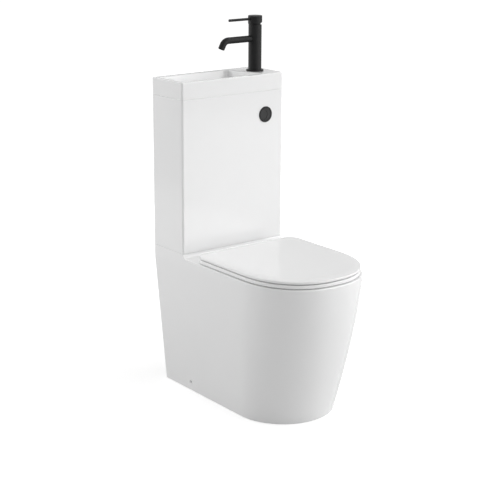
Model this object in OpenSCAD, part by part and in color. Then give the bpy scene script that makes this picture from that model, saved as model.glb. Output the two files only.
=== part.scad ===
// A close coupled toilet with a hand basin on its cistern.
// X runs to the right as seen from the front, Y runs back to the wall at y = 0,
// and Z runs up from the floor. Depths below are measured forward from the wall.

/* [Pan] */
// Height of the rim's top above the floor
rim_z = 421.5; // [400:0.5:440]
// How far the rim reaches from the wall
pan_front = 620; // [612:1:660]
// How much wider than the cistern the rim is
rim_flare = 2; // [1:0.5:9]
// How far the foot reaches from the wall
foot_front = 532; // [500:1:560]
// Width of the foot where its round front starts
foot_w = 300; // [280:1:310]
// Width of the foot at the wall
foot_w_back = 289; // [280:1:300]
// How quickly the skirt flares out above the foot
flare_power = 1.48; // [1.2:0.02:2]
// Thickness of the skirt
skirt_wall = 13; // [10:0.5:15]
// Thickness of the deck and of the rim's top
deck_thick = 14.5; // [12:0.5:18]
// Radius of the rim's outer edge
rim_edge_r = 8; // [4:0.5:10]
// Rise of the cistern's plinth above the rim
plinth_rise = 11.5; // [8:0.5:16]
// Width of the bowl at the rim
bowl_w = 270; // [240:1:280]
// Length of the bowl at the rim
bowl_len = 320; // [280:1:330]
// Thickness of the bowl's wall
bowl_wall = 11; // [8:0.5:13]
// Height of the outlet's axis above the floor
outlet_z = 180; // [170:1:190]
// Radius of the outlet spigot
outlet_r = 51; // [49:0.5:53]
// Inner radius of the trapway
trap_r = 36; // [32:0.5:37]

/* [Cistern] */
// Width of the cistern and of the basin on it
cistern_w = 365; // [362:1:366]
// Depth of the cistern from the wall
cistern_d = 146; // [144:0.5:149]
// Height of the cistern without the basin
cistern_h = 449; // [430:1:500]
// Thickness of its walls
cistern_wall = 11; // [9:0.5:12]
// Thickness of its bottom
cistern_floor = 14; // [12:0.5:16]
// Radius of its upright outer edges
corner_r = 6; // [3:0.5:9]
// Side distance of the two bolts that hold it to the pan
cistern_bolt_x = 86; // [84:0.5:88]

/* [Basin] */
// Height of the basin's band above the cistern
basin_h = 50; // [45:1:60]
// Width of the basin's rim
basin_rim = 12; // [10:0.5:14]
// Depth of the basin's recess
basin_depth = 62; // [56:1:66]
// Thickness of the basin's walls and ledge
basin_wall = 11; // [9:0.5:12]
// Distance of the waste from the basin's left side
waste_inset = 147.5; // [132.5:1:162.5]

/* [Seat and lid] */
// Width of the seat and the lid
lid_w = 360; // [352:1:364]
// Distance of their straight back edge from the wall
lid_back = 200.3; // [200:0.1:201]
// Distance of their nose from the wall
lid_front = 614.9; // [605:0.1:618]
// Radius of their back corners
lid_corner_r = 35; // [20:1:45]
// Thickness of the seat
seat_thick = 9.6; // [8:0.1:11]
// Thickness of the lid
lid_thick = 9.5; // [8:0.1:12]
// Gap between rim and seat
seat_gap = 2.6; // [2:0.1:3]
// Gap between seat and lid
lid_gap = 2.5; // [2:0.1:3]
// Width of the opening in the seat
opening_w = 216; // [200:1:224]
// Length of the opening in the seat
opening_len = 292; // [270:1:296]

/* [Hinges] */
// Distance between the two hinge bolts
hinge_spacing = 155; // [150:1:160]
// Distance of the hinge bolts from the wall
hinge_bolt_depth = 171; // [170.5:0.1:172]
// Distance of the pivot from the wall
pivot_depth = 190; // [189.5:0.1:190.5]
// Height of the pivot above the rim
pivot_rise = 10.5; // [10.2:0.1:10.8]
// Radius of the hinge pin
hinge_pin_r = 4; // [3:0.1:4.2]
// Radius of the knuckles
knuckle_r = 7; // [6.8:0.1:7.2]
// Length of a knuckle
knuckle_len = 24; // [18:1:28]

/* [Tap] */
// Distance of the tap from the basin's right side
tap_inset = 51.9; // [50.5:0.1:53.5]
// Distance of the tap from the wall
tap_depth = 77.1; // [75:0.1:79]
// Height of the tap above the basin
tap_h = 166; // [160:1:180]
// Radius of the tap's body
tap_body_r = 18.75; // [18.5:0.05:19.5]
// Radius of the ring at its foot
tap_ring_r = 26; // [24:0.5:27]
// Height of the spout's axis above the basin
spout_z = 97.5; // [90:0.5:100]
// Radius of the spout
spout_r = 8.6; // [8:0.1:9.5]
// Straight reach of the spout from the tap's axis
spout_reach = 98.9; // [80:0.1:110]
// Radius of the bend at its end
spout_bend_r = 22; // [18:0.5:30]
// Angle of that bend
spout_bend = 62; // [50:1:80]
// Radius of the lever rod
lever_r = 3.9; // [3:0.1:4.2]
// Reach of the lever's tip from the tap's axis
lever_reach = 96.3; // [80:0.1:110]

/* [Flush button] */
// Distance of the button from the cistern's right side
button_inset = 65.1; // [62.5:0.1:68.5]
// Height of the button above the cistern's foot
button_up = 379.5; // [340:0.5:400]
// Radius of the button's bezel
button_r = 24; // [23.5:0.1:28]

/* [Valves] */
// Distance of the fill valve from the tank's left wall
fill_inset = 36.5; // [31.5:1:39.5]
// Radius of the fill valve's threaded tail
fill_tail_r = 10.4; // [10:0.05:10.5]
// Radius of the flush valve's threaded outlet
flush_tail_r = 30.5; // [29:0.25:31]
// Height of the float's rest above the cistern's floor
float_up = 147; // [100:1:160]
// Lift of the flush plunger
plunger_lift = 12; // [8:1:14]

/* [Hidden] */
$fn = 48;

glaze = [0.95, 0.95, 0.94];
white_plastic = [0.93, 0.93, 0.92];
matt_black = [0.14, 0.14, 0.14];
steel = [0.75, 0.76, 0.78];
brass = [0.8, 0.66, 0.35];
rubber = [0.2, 0.2, 0.2];
grey_plastic = [0.7, 0.72, 0.74];
blue_plastic = [0.3, 0.5, 0.75];

through = 1;              // how far a cut runs past a face
part_gap = 0.3;           // between pieces that move against each other
thread_gap = 0.1;         // between a thread and what it runs in
run_gap = 0.05;           // radial clearance of a turning pin

// Heights
deck_z = rim_z + plinth_rise;
cistern_top = deck_z + cistern_h;
basin_top = cistern_top + basin_h;
tank_floor = deck_z + cistern_floor;
deck_under = rim_z - deck_thick;
seat_z = rim_z + seat_gap;
seat_top = seat_z + seat_thick;
lid_z = seat_top + lid_gap;
lid_top = lid_z + lid_thick;
pivot_z = rim_z + pivot_rise;

// Side positions, which follow the cistern's width
rim_w = cistern_w + rim_flare;
inner_w = cistern_w - 2 * cistern_wall;
inner_d = cistern_d - 2 * cistern_wall;
waste_x = waste_inset - cistern_w / 2;
tap_x = cistern_w / 2 - tap_inset;
button_x = cistern_w / 2 - button_inset;
fill_x = fill_inset - inner_w / 2;
hose_hole_inset = 31.5;
hose_hole_x = inner_w / 2 - hose_hole_inset;

// Skirt of the pan
curve_start_foot = 384;   // depth at which the foot's round front starts
curve_start_rim = 416;    // the same at the rim
foot_round = 2;           // exponent of the round front at the foot
rim_round = 2.3;          // and at the rim
back_flare_z = 400;       // height at which the back reaches the cistern's width
edge_blend = 40;          // length over which the rim's edge fades out at the plinth
hollow_levels = [-through, 100, 200, 300, deck_under];
hollow_stations = [-through, 150, 300];

// Bowl, from the rim down: share of width, share of length, depth of its middle,
// share of its height
sump_z = 128;
bowl_back = 261;
bowl_middle = bowl_back + bowl_len / 2;
bowl_profile = [
    [1, 1, 0, 1], [0.993, 0.994, 2, 0.927], [0.956, 0.95, 2, 0.825],
    [0.874, 0.869, 7, 0.688], [0.733, 0.731, 15, 0.552], [0.563, 0.575, 27, 0.416],
    [0.415, 0.425, 40, 0.293], [0.326, 0.325, 50, 0.177], [0.267, 0.269, 57, 0.075],
    [0.193, 0.2, 61, 0]
];
bowl_round = 2.15;

// Trapway axis: depth and height, from the sump to the outlet
spigot_front = 100;
spigot_back = 55;
trap_path = [
    [368, 185], [348, 150], [312, 131], [274, 143], [247, 180], [228, 222],
    [200, 250], [170, 240], [148, 212], [128, outlet_z + 8], [104, outlet_z],
    [spigot_back + 10, outlet_z]
];
trap_wall = 9;
outlet_wall = 11;

// Flush way from the cistern into the bowl
flush_depth = 75;         // distance of the flush valve from the wall
seal_r = 55;              // radius of the coupling seal
seal_sunk = 16.5;         // depth of the seal's seat under the rim's level
seal_seat_z = rim_z - seal_sunk;
inlet_boss_r = 68;
duct_w = 64;
duct_h = 34;
duct_sunk = 55.5;
duct_z = rim_z - duct_sunk;
duct_wall = 10;
duct_lap = 14;            // how far the duct reaches into the bowl's wall
duct_front = bowl_back + duct_lap;
boss_sunk = 6;
boss_top = rim_z - boss_sunk;

// Holes and fixings
hinge_hole_r = 7.5;
cistern_bolt_r = 4;
cistern_bolt_hole_r = 6;
hose_hole_r = 24;
side_hole_depth = 135;
side_hole_z = 28;
side_hole_r = 4.5;
nut_room = 3;             // room round a nut that sits in the deck
below_deck = 10;          // how far a bore runs past the deck's underside

// Tank
bolt_room = 18;           // from a cistern bolt's axis to the partition
partition_x = cistern_bolt_x + bolt_room; // inner partition that keeps the hoses dry
partition_wall = 8;
lock_nut_r = 29;          // nut behind the flush button
partition_gap = 29.5;     // between the partition's top and that nut
partition_h = button_up - cistern_floor - lock_nut_r - partition_gap;

// Basin recess: the outline at the rim, from the back left round to the back right
ledge_back_w = 96.5;      // width of the tap's ledge at the back
ledge_front_w = 68.5;     // and at the front
recess_right_back = cistern_w / 2 - ledge_back_w;
recess_right_front = cistern_w / 2 - ledge_front_w;
recess_corner = 14;
recess_slope = 15;        // how far the walls draw in down to the floor
ledge_thick = 16;
waste_hole_r = 22;
lip_gap = 1.5;            // between the basin's underside and the cistern's walls

// ---------------------------------------------------------------- helpers

function mixed(a, b, t) = a + (b - a) * t;
function unit(v) = v / norm(v);
function middle(ring) = [for (k = [0:2]) [for (p = ring) p[k]] * [for (p = ring) 1] / len(ring)];

// Places its children at a side distance, a depth from the wall and a height
module at(x, depth, z) translate([x, -depth, z]) children();
// Repeats its children on the left and the right
module both_sides() for (side = [-1, 1]) scale([side, 1, 1]) children();
// Cylinder along X from x1 to x2
module rod_x(r, x1, x2) translate([min(x1, x2), 0, 0]) rotate([0, 90, 0]) cylinder(r = r, h = abs(x2 - x1));
// Cylinder along Y from y1 to y2
module rod_y(r, y1, y2) translate([0, max(y1, y2), 0]) rotate([90, 0, 0]) cylinder(r = r, h = abs(y2 - y1));
// Cylinder along Z from z1 to z2
module rod_z(r, z1, z2) translate([0, 0, z1]) cylinder(r = r, h = z2 - z1);
module hex_z(r, z1, z2) translate([0, 0, z1]) cylinder(r = r, h = z2 - z1, $fn = 6);
module tube_z(r, bore, z1, z2) difference() {
    rod_z(r, z1, z2);
    rod_z(bore, z1 - through, z2 + through);
}
module tube_y(r, bore, y1, y2) difference() {
    rod_y(r, y1, y2);
    rod_y(bore, y1 - through, y2 + through);
}
// Cylindrical nut with two wings, for a hand to turn
module wing_nut(hub_r, bore, z1, z2, span) difference() {
    union() {
        rod_z(hub_r, z1, z2);
        translate([-span / 2, -hub_r / 3, z1]) cube([span, hub_r * 2 / 3, (z2 - z1) * 0.7]);
    }
    rod_z(bore, z1 - through, z2 + through);
}

// Side triangles between rings that hold the same number of points
function side_faces(rings, n) = [
    for (j = [0:rings - 2]) for (i = [0:n - 1]) for (t = [0, 1])
        let (a = j * n + i, b = j * n + (i + 1) % n)
        t == 0 ? [a, a + n, b + n] : [a, b + n, b]
];
// Mirror symmetric rings, closed by strips that run across from side to side
module skin(rings) {
    n = len(rings[0]);
    h = (n - 1) / 2;
    last = (len(rings) - 1) * n;
    low = [for (i = [0:h - 1]) for (t = [0, 1]) if (t == 0 || i < h - 1)
        t == 0 ? [i, i + 1, n - 1 - i] : [i + 1, n - 2 - i, n - 1 - i]];
    high = [for (f = low) [f[2] + last, f[1] + last, f[0] + last]];
    polyhedron([for (r = rings) for (p = r) p], concat(side_faces(len(rings), n), low, high));
}
// Round rings, closed by a fan about the middle of each end
module loft(rings) {
    n = len(rings[0]);
    k = len(rings);
    caps = [for (i = [0:n - 1]) for (t = [0, 1])
        t == 0 ? [k * n, i, (i + 1) % n] : [k * n + 1, (k - 1) * n + (i + 1) % n, (k - 1) * n + i]];
    polyhedron(
        concat([for (r = rings) for (p = r) p], [middle(rings[0]), middle(rings[k - 1])]),
        concat(side_faces(k, n), caps)
    );
}
// A ring from its left half, given as side distance and depth from back to front
function whole(half, z) = concat(
    [for (p = half) [-p[0], -p[1], z]],
    [for (i = [len(half) - 2:-1:0]) [half[i][0], -half[i][1], z]]
);
// A round nose: quarter of a superellipse from the side to the middle
function nose(w, start, front, power, steps) = [
    for (i = [0:steps]) let (a = 90 * i / steps)
        [w * pow(max(0, cos(a)), 2 / power), start + (front - start) * pow(sin(a), 2 / power)]
];
// Full superellipse with half sizes w and l about a depth
function oval(w, l, depth, z, power, count) = [
    for (i = [0:count - 1]) let (a = 360 * i / count, c = cos(a), s = sin(a))
        [w * sign(c) * pow(abs(c), 2 / power), -depth + l * sign(s) * pow(abs(s), 2 / power), z]
];
// Round tube swept along points; its ends may run on by some length
module swept(points, r, sides, ends = 0) {
    n = len(points);
    loft([for (i = [0:n - 1])
        let (d = unit(points[min(n - 1, i + 1)] - points[max(0, i - 1)]))
        let (u = unit(abs(d[0]) > 0.9 ? cross(d, [0, 1, 0]) : cross(d, [1, 0, 0])), v = cross(u, d))
        let (c = points[i] + d * (i == 0 ? -ends : i == n - 1 ? ends : 0))
        [for (s = [0:sides - 1]) let (a = 360 * s / sides) c + r * cos(a) * v + r * sin(a) * u]]);
}

// ---------------------------------------------------------------- pan

function flare(z) = 1 - pow(1 - min(1, z / rim_z), flare_power);
function side_half(z) = mixed(foot_w, rim_w, flare(z)) / 2;
function back_half(z) = mixed(foot_w_back, cistern_w, min(1, z / back_flare_z)) / 2;
function front_at(z) = mixed(foot_front, pan_front, flare(z));
function curve_start(z) = mixed(curve_start_foot, curve_start_rim, z / rim_z);
function roundness(z) = mixed(foot_round, rim_round, z / rim_z);
// Side distance of the skirt's outer face behind its round front
function skirt_side(depth, z) = mixed(back_half(z), side_half(z), depth / curve_start(z));
// Left half of the skirt at height z, drawn in by inset, with points at the depths of stations
function skirt_half(z, inset, stations, steps) =
    let (w0 = back_half(z) - inset, w1 = side_half(z) - inset, c = curve_start(z))
    concat(
        [for (y = stations) [mixed(w0, w1, y / c), y]],
        nose(w1, c, front_at(z) - inset, roundness(z), steps)
    );
// Height of the top surface: the plinth, its hollow fillet, then the rim
function surface_z(y) =
    y <= cistern_d ? deck_z
    : y >= cistern_d + plinth_rise ? rim_z
    : deck_z - sqrt(pow(plinth_rise, 2) - pow(cistern_d + plinth_rise - y, 2));
function edge_share(y) = min(1, max(0, (y - cistern_d - rim_edge_r) / edge_blend));
skirt_levels = [0, 40, 80, 130, 180, 230, 280, 330, 370, 400];
skirt_stations = concat(
    [0, cistern_d],
    [for (a = [15, 35, 60, 90]) cistern_d + plinth_rise * (1 - cos(a))],
    [cistern_d + 30, cistern_d + 54, 300]
);
nose_steps = 12;

module pan_skirt() {
    level = rim_z - rim_edge_r;
    edge = [for (a = [0:22.5:90])
        let (outer = skirt_half(level, 0, skirt_stations, nose_steps))
        let (inner = skirt_half(level, rim_edge_r * (1 - cos(a)), skirt_stations, nose_steps))
        let (half = [for (i = [0:len(outer) - 1]) mixed(outer[i], inner[i], edge_share(outer[i][1]))])
        [for (p = whole(half, 0)) [p[0], p[1], surface_z(-p[1]) - rim_edge_r * (1 - sin(a))]]];
    skin(concat([for (z = skirt_levels) whole(skirt_half(z, 0, skirt_stations, nose_steps), z)], edge));
}
module pan_hollow() skin([for (z = hollow_levels)
    whole(skirt_half(max(z, 0), skirt_wall, hollow_stations, 10), z)]);
// The bowl's inside, or its outside where it is made thicker by a wall
module bowl(wall) {
    last = len(bowl_profile) - 1;
    loft([for (i = [last:-1:0])
        let (b = bowl_profile[i], z = mixed(sump_z, rim_z + through, b[3]))
        let (lower = wall == 0 ? 0 : i == 0 ? deck_thick - through : i == last ? wall : 0)
        oval(bowl_w / 2 * b[0] + wall, bowl_len / 2 * b[1] + wall, bowl_middle - b[2],
            z - lower, bowl_round, 36)]);
}
module trapway(wall, ends) swept([for (p = trap_path) [0, -p[0], p[1]]], trap_r + wall, 20, ends);
// The whole casting before its bores. resize() holds it to its width
module pan_casting() resize([rim_w, 0, 0]) difference() {
    union() {
        difference() {
            pan_skirt();
            pan_hollow();
        }
        bowl(bowl_wall);
        trapway(trap_wall, 0);
        at(0, flush_depth, 0) rod_z(inlet_boss_r, duct_z - duct_wall, boss_top);
        at(-duct_w / 2 - duct_wall, duct_front, duct_z - duct_wall)
            cube([duct_w + 2 * duct_wall, duct_front - flush_depth, duct_h + 2 * duct_wall]);
    }
    bowl(0);
    trapway(0, 2);
    at(-duct_w / 2, duct_front, duct_z) cube([duct_w, duct_front - flush_depth, duct_h]);
}
module pan() color(glaze) difference() {
    union() {
        pan_casting();
        at(0, 0, outlet_z) rod_y(outlet_r, -spigot_back, -spigot_front);
    }
    at(0, 0, outlet_z) rod_y(outlet_r - outlet_wall, -spigot_back + through, -spigot_front + 4);
    at(0, flush_depth, 0) rod_z(duct_w / 2, duct_z, deck_z + through);
    at(0, flush_depth, 0) rod_z(seal_r + 1.5, seal_seat_z, deck_z + through);
    both_sides() {
        at(hinge_spacing / 2, hinge_bolt_depth, 0) rod_z(hinge_hole_r, deck_under - below_deck, deck_z);
        at(cistern_bolt_x, flush_depth, 0) rod_z(cistern_bolt_hole_r, deck_under - below_deck, deck_z + through);
        at(0, side_hole_depth, side_hole_z)
            rod_x(side_hole_r, foot_w / 2 - 2 * skirt_wall, foot_w / 2 + skirt_wall);
    }
    at(fill_x, flush_depth, 0) rod_z(fill_nut_r + nut_room, deck_under - below_deck, deck_z + through);
    at(hose_hole_x, flush_depth, 0) rod_z(hose_hole_r, deck_under - below_deck, deck_z + through);
}

// ---------------------------------------------------------------- cistern

// Flat rounded rectangle against the wall, reaching w across and d forward
module footprint(w, d, r) {
    steps = [0:15:90];
    front = [for (a = steps) [w / 2 - r + r * sin(90 - a), -d + r - r * cos(90 - a)]];
    polygon(concat(
        [[w / 2, 0]], front, [for (i = [len(front) - 1:-1:0]) [-front[i][0], front[i][1]]], [[-w / 2, 0]]
    ));
}
module cistern() color(glaze) difference() {
    translate([0, 0, deck_z]) linear_extrude(cistern_h) footprint(cistern_w, cistern_d, corner_r);
    difference() {
        at(-inner_w / 2, cistern_d - cistern_wall, tank_floor)
            cube([inner_w, inner_d, cistern_h]);
        at(partition_x, cistern_d, deck_z) cube([partition_wall, cistern_d, partition_h + cistern_floor]);
    }
    at(0, flush_depth, 0) rod_z(flush_tail_r + 1, deck_z - through, tank_floor + through);
    at(fill_x, flush_depth, 0) rod_z(fill_tail_r + 1, deck_z - through, tank_floor + through);
    at(hose_hole_x, flush_depth, 0) rod_z(hose_hole_r, deck_z - through, tank_floor + through);
    both_sides() at(cistern_bolt_x, flush_depth, 0)
        rod_z(cistern_bolt_r + 1.5, deck_z - through, tank_floor + through);
    at(button_x, cistern_d, deck_z + button_up)
        rod_y(button_sleeve_r + 0.5, -through, cistern_wall + through);
}

// ---------------------------------------------------------------- basin

// One ring of the recess, drawn in by inset on every side, with round corners
function recess(inset, z, steps) =
    let (left = -cistern_w / 2 + basin_rim + inset, back = basin_rim + 4 + inset)
    let (front = cistern_d - basin_rim - inset, rb = recess_right_back - inset)
    let (rf = recess_right_front - inset, r = recess_corner, lean = atan((rf - rb) / (front - back)))
    concat(
        [for (i = [0:steps]) let (a = 90 * i / steps)
            [left + r - r * sin(a), -back - r + r * cos(a), z]],
        [for (i = [0:steps]) let (a = 90 * i / steps)
            [left + r - r * cos(a), -front + r - r * sin(a), z]],
        [for (i = [0:steps]) let (a = -90 + (90 + lean) * i / steps)
            [rf - r + r * cos(a) - lean / 12, -front + r + r * sin(a), z]],
        [for (i = [0:steps]) let (a = lean + (90 - lean) * i / steps)
            [rb - r + r * cos(a) + lean / 12, -back - r + r * sin(a), z]]
    );
recess_floor_z = basin_top - basin_depth;
module recess_cut() loft([
    recess(recess_slope + 12, recess_floor_z, 4),
    recess(recess_slope + 2, recess_floor_z + 3, 4),
    recess(recess_slope - 2, recess_floor_z + 10, 4),
    recess(1.5, basin_top - 8, 4),
    recess(0, basin_top - 1, 4),
    recess(-2, basin_top + through, 4)
]);
module basin() color(glaze) difference() {
    union() {
        difference() {
            translate([0, 0, cistern_top]) linear_extrude(basin_h)
                footprint(cistern_w, cistern_d, corner_r);
            translate([0, 0, cistern_top - through]) linear_extrude(basin_h - ledge_thick + through) {
                polygon([
                    [recess_right_back + basin_wall, -basin_wall],
                    [recess_right_front + basin_wall, basin_wall - cistern_d],
                    [cistern_w / 2 - basin_wall, basin_wall - cistern_d],
                    [cistern_w / 2 - basin_wall, -basin_wall]
                ]);
                translate([tap_x, -tap_depth]) circle(clamp_r + 1);
            }
        }
        at(-inner_w / 2 + lip_gap, cistern_d - cistern_wall - lip_gap, recess_floor_z - basin_wall)
            cube([inner_w / 2 + recess_right_back + basin_wall - lip_gap, inner_d - 2 * lip_gap,
                basin_depth - basin_h + basin_wall + 2]);
    }
    recess_cut();
    at(waste_x, flush_depth, 0) rod_z(waste_hole_r, recess_floor_z - basin_wall - through, basin_top);
    at(tap_x, tap_depth, 0) rod_z(tap_hole_r, cistern_top - through, basin_top + through);
}

// ---------------------------------------------------------------- close coupling

module coupling_seal() color(rubber) at(0, flush_depth, 0)
    tube_z(seal_r, flush_nut_r + 1, seal_seat_z, deck_z);

bolt_seal_h = 4;
bolt_seal_r = 13;
bolt_washer_h = 3;
bolt_washer_r = 14;
bolt_head_r = 7.5;
bolt_head_h = 5.5;
bolt_below = 24;          // how far the bolts reach below the deck
wing_hub_r = 8;
wing_low = 14;            // lower face of a wing nut, below the deck
module bolt_places() both_sides() at(cistern_bolt_x, flush_depth, 0) children();
module cistern_bolts() color(steel) bolt_places() {
    rod_z(cistern_bolt_r, deck_under - bolt_below, tank_floor + bolt_seal_h);
    hex_z(bolt_head_r, tank_floor + bolt_seal_h, tank_floor + bolt_seal_h + bolt_head_h);
}
module cistern_bolt_seals() color(rubber) bolt_places() {
    tube_z(bolt_seal_r, cistern_bolt_r + thread_gap, tank_floor, tank_floor + bolt_seal_h);
}
module cistern_bolt_washers() color(steel) bolt_places() {
    tube_z(bolt_washer_r, cistern_bolt_r + thread_gap, deck_under - bolt_washer_h, deck_under);
}
module cistern_wing_nuts() color(brass) bolt_places() {
    wing_nut(wing_hub_r, cistern_bolt_r + thread_gap, deck_under - wing_low, deck_under - bolt_washer_h, 34);
}

// ---------------------------------------------------------------- floor fixings

bracket_w = 30;
bracket_foot = 6;
bracket_top = 42;
bracket_leg = 8;
bracket_reach = 40;
// Outer face of the bracket's upright leg, just inside the skirt
bracket_x = skirt_side(side_hole_depth - bracket_w / 2, 0) - skirt_wall - part_gap;
bracket_hole_x = bracket_x - 27.92;
bracket_hole_r = 4;
side_screw_r = 2.5;
side_screw_len = 14;      // how far it reaches into the bracket
side_head_r = 4.2;
side_head_h = 3;
side_head_sunk = 2.3;     // from the skirt's outer face to the head
side_head_x = skirt_side(side_hole_depth, side_hole_z) - side_head_sunk - side_head_h;
module floor_brackets() color(white_plastic) both_sides() difference() {
    union() {
        at(bracket_x - bracket_reach, side_hole_depth + bracket_w / 2, 0)
            cube([bracket_reach, bracket_w, bracket_foot]);
        at(bracket_x - bracket_leg, side_hole_depth + bracket_w / 2, 0)
            cube([bracket_leg, bracket_w, bracket_top]);
    }
    at(bracket_hole_x, side_hole_depth, 0) rod_z(bracket_hole_r, -through, bracket_foot + through);
    at(0, side_hole_depth, side_hole_z) rod_x(side_screw_r + thread_gap, bracket_x - 2 * side_screw_len, bracket_x + through);
}
module side_screws() color(steel) both_sides() at(0, side_hole_depth, side_hole_z) {
    rod_x(side_screw_r, bracket_x - side_screw_len, side_head_x);
    rod_x(side_head_r, side_head_x, side_head_x + side_head_h);
}

// ---------------------------------------------------------------- seat and lid

seat_power = 2.25;
seat_straight = 416.4;    // depth at which the round front starts
edge_r = 3;
under_edge = 1.5;         // bevel of the undersides
opening_power = 2.4;
opening_shift = 9;        // how far behind the bowl's middle the seat's opening lies
post_w = 15;
notch_gap = 2.4;
web_front = 207;

// Left half of the seat's or the lid's outline, drawn in by inset
function seat_half(inset) =
    let (w = lid_w / 2 - inset, back = lid_back + inset, r = lid_corner_r - inset)
    concat(
        [for (a = [0:18:90]) [w - r + r * sin(a), back + r - r * cos(a)]],
        nose(w, seat_straight, lid_front - inset, seat_power, 14)
    );
module slab(z1, z2, under) skin([
    whole(seat_half(under), z1),
    whole(seat_half(0), z1 + under),
    whole(seat_half(0), z2 - edge_r),
    whole(seat_half(edge_r * 0.3), z2 - edge_r * 0.3),
    whole(seat_half(edge_r), z2)
]);
module seat_opening() {
    w = opening_w / 2;
    l = opening_len / 2;
    depth = bowl_middle - opening_shift;
    // How much wider the opening is at each height
    flares = [[1, seat_z - through], [0, seat_z + 3], [1.5, seat_top - 2], [5, seat_top + through]];
    loft([for (f = flares) oval(w + f[0], l + f[0], depth, f[1], opening_power, 40)]);
}
// Along the pin: the lid's knuckle, the post, the seat's knuckle
post_x = hinge_spacing / 2;
lid_knuckle_x1 = post_x - post_w / 2 - 1 - knuckle_len;
seat_knuckle_x1 = post_x + post_w / 2 + 1;
module at_pivot() at(0, pivot_depth, pivot_z) children();
damper_r = 5.5;
damper_inset = 2;         // solid end of the knuckle that holds the damper
module seat() color(white_plastic) difference() {
    union() {
        resize([lid_w, 0, 0]) difference() {
            slab(seat_z, seat_top, under_edge);
            seat_opening();
        }
        both_sides() {
            at_pivot() rod_x(knuckle_r, seat_knuckle_x1, seat_knuckle_x1 + knuckle_len);
            at(seat_knuckle_x1, lid_back + 6, seat_z)
                cube([knuckle_len, lid_back + 6 - pivot_depth, seat_thick]);
        }
    }
    both_sides() at_pivot() rod_x(hinge_pin_r + run_gap, seat_knuckle_x1 - through, seat_knuckle_x1 + knuckle_len + through);
    at_pivot() rod_x(damper_r, seat_knuckle_x1 + damper_inset, seat_knuckle_x1 + knuckle_len + through);
    both_sides() at(lid_knuckle_x1 - notch_gap, web_front + 1.5, seat_z - through)
        cube([knuckle_len + 2 * notch_gap, web_front, seat_thick + 2 * through]);
}
module lid() color(white_plastic) difference() {
    union() {
        resize([lid_w, 0, 0]) slab(lid_z, lid_top, under_edge);
        both_sides() hull() {
            at_pivot() rod_x(knuckle_r, lid_knuckle_x1, lid_knuckle_x1 + knuckle_len, $fn = 32);
            at(lid_knuckle_x1, web_front, lid_z + 1) cube([knuckle_len, 9, lid_thick - 3]);
        }
    }
    both_sides() at_pivot() rod_x(hinge_pin_r + run_gap, lid_knuckle_x1 - through, lid_knuckle_x1 + knuckle_len + through);
    at_pivot() rod_x(damper_r, -lid_knuckle_x1 - knuckle_len + damper_inset, -lid_knuckle_x1 + through);
}
module damper(x1, x2) color(grey_plastic) at_pivot() difference() {
    rod_x(damper_r, x1, x2);
    rod_x(hinge_pin_r + run_gap, x1 - through, x2 + through);
}
module seat_damper() damper(seat_knuckle_x1 + damper_inset, seat_knuckle_x1 + knuckle_len);
module lid_damper() damper(-lid_knuckle_x1 - knuckle_len + damper_inset, -lid_knuckle_x1);

// A soft pad under the seat or the lid, at four or two places
buffer_w = 24;
buffer_d = 12;
module buffer(x, depth, z1, z2) at(x - buffer_d / 2, depth + buffer_w / 2, z1) cube([buffer_d, buffer_w, z2 - z1]);
// Distances from the side and from the nose of the seat or the lid
seat_buffer_places = [[30, 344.9], [52, 114.9]];
lid_buffer_place = [40, 144.9];
module seat_buffers() color(rubber) both_sides() for (p = seat_buffer_places)
    buffer(lid_w / 2 - p[0], lid_front - p[1], rim_z + part_gap, seat_z);
module lid_buffers() color(rubber) both_sides()
    buffer(lid_w / 2 - lid_buffer_place[0], lid_front - lid_buffer_place[1], seat_top + part_gap, lid_z);

// ---------------------------------------------------------------- hinges

post_disc_r = 15;
post_disc_depth = 174;
post_disc_h = 2.5;
hinge_bolt_r = 4;
hinge_bolt_below = 20;
hinge_head_r = 6.2;
hinge_head_h = 3.5;
hinge_sleeve_r = 12;
hinge_eye_r = 6.8;
module hinge_places() both_sides() at(post_x, 0, 0) children();
module hinge_posts() color(steel) both_sides() difference() {
    union() {
        at(post_x, post_disc_depth, rim_z) cylinder(r = post_disc_r, h = post_disc_h);
        hull() {
            at_pivot() rod_x(hinge_eye_r, post_x - post_w / 2, post_x + post_w / 2, $fn = 32);
            at(post_x - post_w / 2, pivot_depth - 3.5, rim_z + 1) cube([post_w, 7, 2]);
        }
    }
    at_pivot() rod_x(hinge_pin_r, post_x - post_w, post_x + post_w);
    at(post_x, hinge_bolt_depth, 0) rod_z(hinge_bolt_r + thread_gap, rim_z - through, rim_z + post_disc_h + 0.01);
}
module hinge_pins() color(steel) both_sides() at_pivot()
    rod_x(hinge_pin_r, lid_knuckle_x1 - 1, seat_knuckle_x1 + knuckle_len + 1);
hinge_sleeve_h = 3;
module hinge_bolts() color(steel) hinge_places() at(0, hinge_bolt_depth, 0) {
    rod_z(hinge_bolt_r, deck_under - hinge_bolt_below, rim_z + post_disc_h);
    rod_z(hinge_head_r, rim_z + post_disc_h, rim_z + post_disc_h + hinge_head_h);
}
module hinge_sleeves() color(rubber) hinge_places() at(0, hinge_bolt_depth, 0) {
    tube_z(hinge_hole_r - thread_gap, hinge_bolt_r + thread_gap, deck_under - 0.01, rim_z);
    tube_z(hinge_sleeve_r, hinge_bolt_r + thread_gap, deck_under - hinge_sleeve_h, deck_under);
}
module hinge_wing_nuts() color(white_plastic) hinge_places() at(0, hinge_bolt_depth, 0)
    wing_nut(wing_hub_r, hinge_bolt_r + thread_gap, deck_under - wing_low, deck_under - hinge_sleeve_h, 30);

// ---------------------------------------------------------------- tap

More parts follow.
